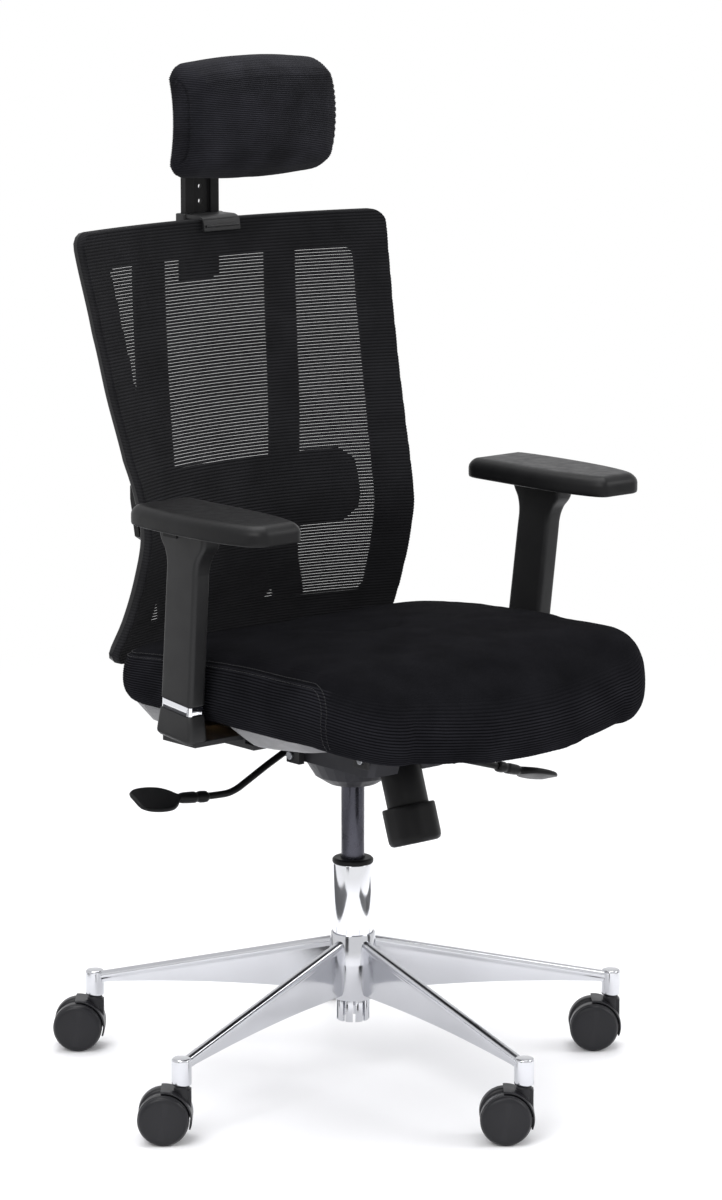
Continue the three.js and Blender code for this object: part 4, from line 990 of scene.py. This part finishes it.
def headrest_cushion():
    heights = headrest_heights()
    grid = bowed(np.array([headrest_row(z) for z in heights]))
    normals = grid_normals(grid)
    swell = cloth_swell("headrest_swell", loft((grid - 1.2 * normals)[::8, ::3]), 4.5, 3.0)
    grid = swollen(grid.reshape(-1, 3), swell).reshape(grid.shape) - 1.0 * normals
    flatness = np.clip(1 - np.abs(normals[:, :, 2]) ** 3, 0, 1)
    ribs = 0.5 * np.sin(2 * math.pi * heights / HEADREST["rib"])[:, None] * flatness
    grid = grid + normals * ribs[:, :, None]
    points, outward = grid.reshape(-1, 3), normals.reshape(-1, 3)
    for side in (-1, 1):
        seam_relief(points, outward, headrest_seam(side), width=1.3, depth=1.8, pucker=0.55, pitch=7.5,
                    reach=10)
    # The ribs also give the mask of painted shade in their grooves and painted light on their crests.
    cushion = piece("headrest_cushion_sewn", loft(points.reshape(grid.shape)), "headrest",
                    "headrest_fabric", replaces=["headrest_cushion"], angle=0, relief=0.5 + ribs)


# ---- back ----
def back_edge(z):
    rows = through(BACK_PROFILE, np.atleast_1d(z).astype(float))
    return rows[:, 1], rows[:, 2]


def back_surface(x, z):
    edge_y, half = back_edge(z)
    hollow = 40 + 15 * np.exp(-(((z - 680) / 110) ** 2))
    return edge_y - 15 + hollow * (1 - (x / half) ** 2)


def frame_loop(inset, top, bottom, corner):
    """A loop of (x, z) points inside the back's outline, drawn in by these distances."""
    height = BACK["top"] - BACK["bottom"] - top - bottom
    middle = (BACK["top"] - top + BACK["bottom"] + bottom) / 2
    nominal = 215
    outline = rounded_rectangle(2 * (nominal - inset), height, corner, 8)
    dense = []
    for start, end in zip(outline, np.roll(outline, -1, axis=0)):
        steps = max(1, int(np.linalg.norm(end - start) / 9))
        dense += [start + (end - start) * k / steps for k in range(steps)]
    dense = np.array(dense)
    z = middle + dense[:, 1]
    half = back_edge(z)[1]
    return np.column_stack([dense[:, 0] * (half - inset) / (nominal - inset), z])


def resampled(points, count):
    """A closed loop's points spread evenly over this many places."""
    closed = np.vstack([points, points[:1]])
    walk = walked(closed)
    spots = np.linspace(0, 1, count, endpoint=False) * walk[-1]
    return np.column_stack([np.interp(spots, walk, closed[:, k]) for k in range(2)])


def back_frame():
    outer = frame_loop(0, 0, 0, BACK["corner"])
    count = len(outer)
    outer = resampled(outer, count)
    rim = resampled(frame_loop(9, 9, 9, BACK["corner"] - 6), count)
    inner = resampled(frame_loop(BACK["side"], BACK["top_bar"], BACK["bottom_bar"], 12), count)
    sections = [(outer, 0), (outer, 20), (rim, 20), (rim, 9), (inner, 9), (inner, 0)]
    rings = []
    for i in range(count):
        ring = []
        for loop, behind in sections:
            x, z = loop[i]
            ring.append((x, back_surface(np.array([x]), np.array([z]))[0] + behind, z))
        rings.append(rounded(ring, 2.2, 3, closed=True))
    piece("back_frame_moulded", loft(rings, loop=True), "back", "black_plastic", look="rim_plastic",
          replaces=["back_frame"])


def past_outline(x, z, half):
    """How far points lie past the frame's outline less its rounded corners, and which way is out."""
    middle = (BACK["top"] + BACK["bottom"]) / 2
    corner = BACK["corner"]
    qx = np.abs(x) - (half - corner)
    qz = np.abs(z - middle) - ((BACK["top"] - BACK["bottom"]) / 2 - corner)
    both = (qx > 0) & (qz > 0)
    length = np.maximum(np.hypot(qx, qz), 1e-6)
    side_way = qx > qz
    out_x = np.where(both, qx / length, np.where(side_way, 1.0, 0.0)) * np.sign(x)
    out_z = np.where(both, qz / length, np.where(side_way, 0.0, 1.0)) * np.sign(z - middle)
    return np.where(both, length, np.where(side_way, qx, qz)) - corner, out_x, out_z


def mesh_points(x, z, half, ribs):
    """The flat grid laid over the frame's front, with its margin folded back round the edge."""
    distance, out_x, out_z = past_outline(x, z, half)
    beyond = np.clip(distance, 0, WEAVE["wrap"])
    past = np.maximum(distance, 0)
    edge = smooth(beyond / 3)
    px = x - out_x * past + out_x * 1.3 * edge
    pz = z - out_z * past + out_z * 1.3 * edge
    clamped = np.clip(pz, BACK["bottom"] - 1, BACK["top"] + 1)
    y = back_surface(np.clip(px, -half, half).ravel(), clamped.ravel()).reshape(x.shape)
    y = y - (2.8 + ribs) * (1 - edge) + edge * (beyond - 2.0)
    return np.column_stack([px.ravel(), y.ravel(), pz.ravel()]), distance


def mesh_faces(x, z, half, distance):
    """Quads of the weave, without its slots in the frame's opening and without what lies past the wrap."""
    low = BACK["bottom"] + BACK["bottom_bar"] - 1
    high = BACK["top"] - BACK["top_bar"] + 1
    row_opens = (np.arange(len(z)) % len(WEAVE["rows"]) == 0) & (z[:, 0] > low) & (z[:, 0] < high)
    share = np.round(x[0] / WEAVE["column"] % 1, 3)
    column_opens = (share < 0.01) | (share > 0.99)
    slot = np.outer(row_opens, column_opens) & (np.abs(x) < half - BACK["side"] + 1)
    past = distance > WEAVE["wrap"]
    rows, columns = np.nonzero(~(slot[:-1, :-1] | (past[:-1, :-1] & past[1:, 1:])))
    count = x.shape[1]
    first = rows * count + columns
    return np.column_stack([first, first + 1, first + count + 1, first + count])


def back_mesh():
    pitch, column, wrap = WEAVE["pitch"], WEAVE["column"], WEAVE["wrap"]
    reach = (BACK["top"] - BACK["bottom"]) / 2 + wrap + 1
    lowest = (BACK["top"] + BACK["bottom"]) / 2 - reach
    bands = range(int(2 * reach / pitch))
    heights = np.array([lowest + pitch * (k + part) for k in bands for part in WEAVE["rows"]])
    half_columns = int((WEAVE["widest"] + wrap + 3) / column)
    columns = range(-half_columns, half_columns)
    across = np.array([column * k + part for k in columns for part in (0, WEAVE["slot"])])
    x, z = np.meshgrid(across, heights)
    half = back_edge(z.ravel())[1].reshape(z.shape)
    raised = np.tile([False, False, True, True], len(bands))
    ribs = np.where(raised[:, None], 0.45, -0.25)
    points, distance = mesh_points(x, z, half, ribs)
    faces = mesh_faces(x, z, half, distance)
    used = np.unique(faces)
    # Painted shade on the sunken threads and painted light on the raised ones, by the ribs' heights.
    relief = np.broadcast_to(0.35 + ribs, x.shape).ravel()[used]
    cloth = piece("back_mesh_woven", (points[used], np.searchsorted(used, faces).tolist()), "back",
                  "back_mesh", replaces=["back_mesh"], angle=0, relief=relief)


# ---- CAD parts that stay ----
def finish_cad_parts():
    """Gives every CAD node that still shows the look of its slot, and softens its edges."""
    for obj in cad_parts.values():
        if obj.hide_render:
            continue
        slot = obj.material_slots[0].material.name if obj.material_slots else ""
        key = next((known for known in LOOK if slot.startswith(known)), "black_plastic")
        for material_slot in obj.material_slots:
            material_slot.material = LOOK[key]
        obj.modifiers.new("weld", "WELD").merge_threshold = 0.00002
        bevel = obj.modifiers.new("edges", "BEVEL")
        bevel.width = 0.0008
        bevel.segments = 2
        bevel.limit_method = "ANGLE"
        bevel.angle_limit = math.radians(32)
        bevel.use_clamp_overlap = True


# ---- stage ----
def floor_look():
    """Pale grey round the chair, fading to plain white further out."""
    mat, tree, shader = new_material("floor")
    shader.inputs["Base Color"].default_value = (0.93, 0.93, 0.945, 1)
    shader.inputs["Roughness"].default_value = 0.55
    shader.inputs["Specular IOR Level"].default_value = 0.25
    glow = tree.nodes.new("ShaderNodeEmission")
    distance = tree.nodes.new("ShaderNodeVectorMath")
    distance.operation = "LENGTH"
    tree.links.new(tree.nodes.new("ShaderNodeTexCoord").outputs["Object"], distance.inputs[0])
    ramp = tree.nodes.new("ShaderNodeMapRange")
    ramp.interpolation_type = "SMOOTHSTEP"
    ramp.inputs["From Min"].default_value = 0.7
    ramp.inputs["From Max"].default_value = 2.6
    tree.links.new(distance.outputs["Value"], ramp.inputs["Value"])
    mix = tree.nodes.new("ShaderNodeMixShader")
    tree.links.new(ramp.outputs["Result"], mix.inputs["Fac"])
    tree.links.new(shader.outputs["BSDF"], mix.inputs[1])
    tree.links.new(glow.outputs["Emission"], mix.inputs[2])
    tree.links.new(mix.outputs["Shader"], tree.nodes["Material Output"].inputs["Surface"])
    return mat


def floor():
    size = 60
    corners = [(-size, -size, 0), (size, -size, 0), (size, size, 0), (-size, size, 0)]
    mesh = new_mesh("floor", corners, [(0, 1, 2, 3)])
    mesh.materials.append(floor_look())
    added("floor", mesh)


def softbox(name, at, size, power):
    light = bpy.data.lights.new(name, "AREA")
    light.size = size
    light.energy = power
    obj = added(name, light)
    obj.location = at
    obj.rotation_euler = (Vector((0, 0, 0.6)) - Vector(at)).to_track_quat("-Z", "Y").to_euler()


def sky():
    """An even white sky, a little dimmer overhead and below, by the height of each direction."""
    world = bpy.data.worlds.new("studio")
    world.use_nodes = True
    tree = world.node_tree
    parts = tree.nodes.new("ShaderNodeSeparateXYZ")
    tree.links.new(tree.nodes.new("ShaderNodeTexCoord").outputs["Generated"], parts.inputs["Vector"])
    ramp = tree.nodes.new("ShaderNodeValToRGB")
    stops = [(0.0, 0.6), (0.48, 1.0), (0.58, 1.0), (0.75, 0.8), (1.0, 0.8)]
    ramp.color_ramp.elements[0].position = stops[0][0]
    ramp.color_ramp.elements[1].position = stops[-1][0]
    for position, _ in stops[1:-1]:
        ramp.color_ramp.elements.new(position)
    for element, (_, value) in zip(ramp.color_ramp.elements, stops):
        element.color = (value, value, value * 1.01, 1)
    tree.links.new(mapped(tree, parts.outputs["Z"], 0, 1, -1, 1), ramp.inputs["Fac"])
    tree.links.new(ramp.outputs["Color"], tree.nodes["Background"].inputs["Color"])
    return world


def studio():
    scene = bpy.context.scene
    scene.world = sky()
    softbox("key", (-3.2, -1.4, 3.2), 2.4, 90)
    softbox("fill", (2.6, -2.6, 2.4), 2.2, 55)
    softbox("top", (0.2, 0.4, 4.2), 3.0, 110)
    scene.view_settings.view_transform = "Standard"
    scene.view_settings.look = "None"


def dark_panel(name, corners):
    """A black card that shows only as a reflection in the polished metal."""
    mesh = new_mesh(name, corners, [(0, 1, 2, 3)])
    mat, _, shader = new_material(name)
    shader.inputs["Base Color"].default_value = (0.01, 0.01, 0.012, 1)
    mesh.materials.append(mat)
    obj = added(name, mesh)
    obj.visible_camera = False
    obj.visible_diffuse = False
    obj.visible_shadow = False


def dark_panels():
    """Two cards on the floor, in metres (near, far, front, back), and two that stand further out."""
    across = np.array(CAMERA["across"])
    away = np.array([-across[1], across[0]])
    floor_cards = [(-1.5, -0.78, -1.3, 1.2), (0.86, 1.25, -1.2, 0.7)]
    for number, (near, far, front, back) in enumerate(floor_cards):
        corners = [across * side + away * depth
                   for side, depth in ((near, front), (far, front), (far, back), (near, back))]
        dark_panel(f"dark_floor_{number + 1}", [(x, y, 0.004) for x, y in corners])
    half_width, low, high, distance = 0.5, 0.02, 2.2, 3.4
    for number, azimuth in enumerate((200, 318)):
        angle = math.radians(azimuth)
        out = np.array([math.cos(angle), math.sin(angle)])
        side = np.array([-out[1], out[0]]) * half_width
        a, b = out * distance - side, out * distance + side
        dark_panel(f"dark_panel_{number + 1}", [(*a, low), (*b, low), (*b, high), (*a, high)])


def camera():
    across = np.array([*CAMERA["across"], 0])
    forward = np.array([-CAMERA["across"][1], CAMERA["across"][0], 0]) + CAMERA["turn"] * across
    forward /= np.linalg.norm(forward)
    down = math.radians(CAMERA["down"])
    aim = Vector(forward * math.cos(down)) + Vector((0, 0, -math.sin(down)))
    data = bpy.data.cameras.new("camera")
    data.lens = CAMERA["lens"]
    data.sensor_width = 36
    data.clip_end = 200
    obj = added("camera", data)
    obj.location = Vector(place(CAMERA["eye"]))
    obj.rotation_euler = aim.to_track_quat("-Z", "Y").to_euler()
    bpy.context.scene.camera = obj


camera()
studio()
floor()
dark_panels()
base_star()
casters()
lift()
spring_tube()
tension_knob()
levers()
arms()
back_frame()
headrest_clip()
back_mesh()
seat_cushion()
headrest_cushion()
finish_cad_parts()
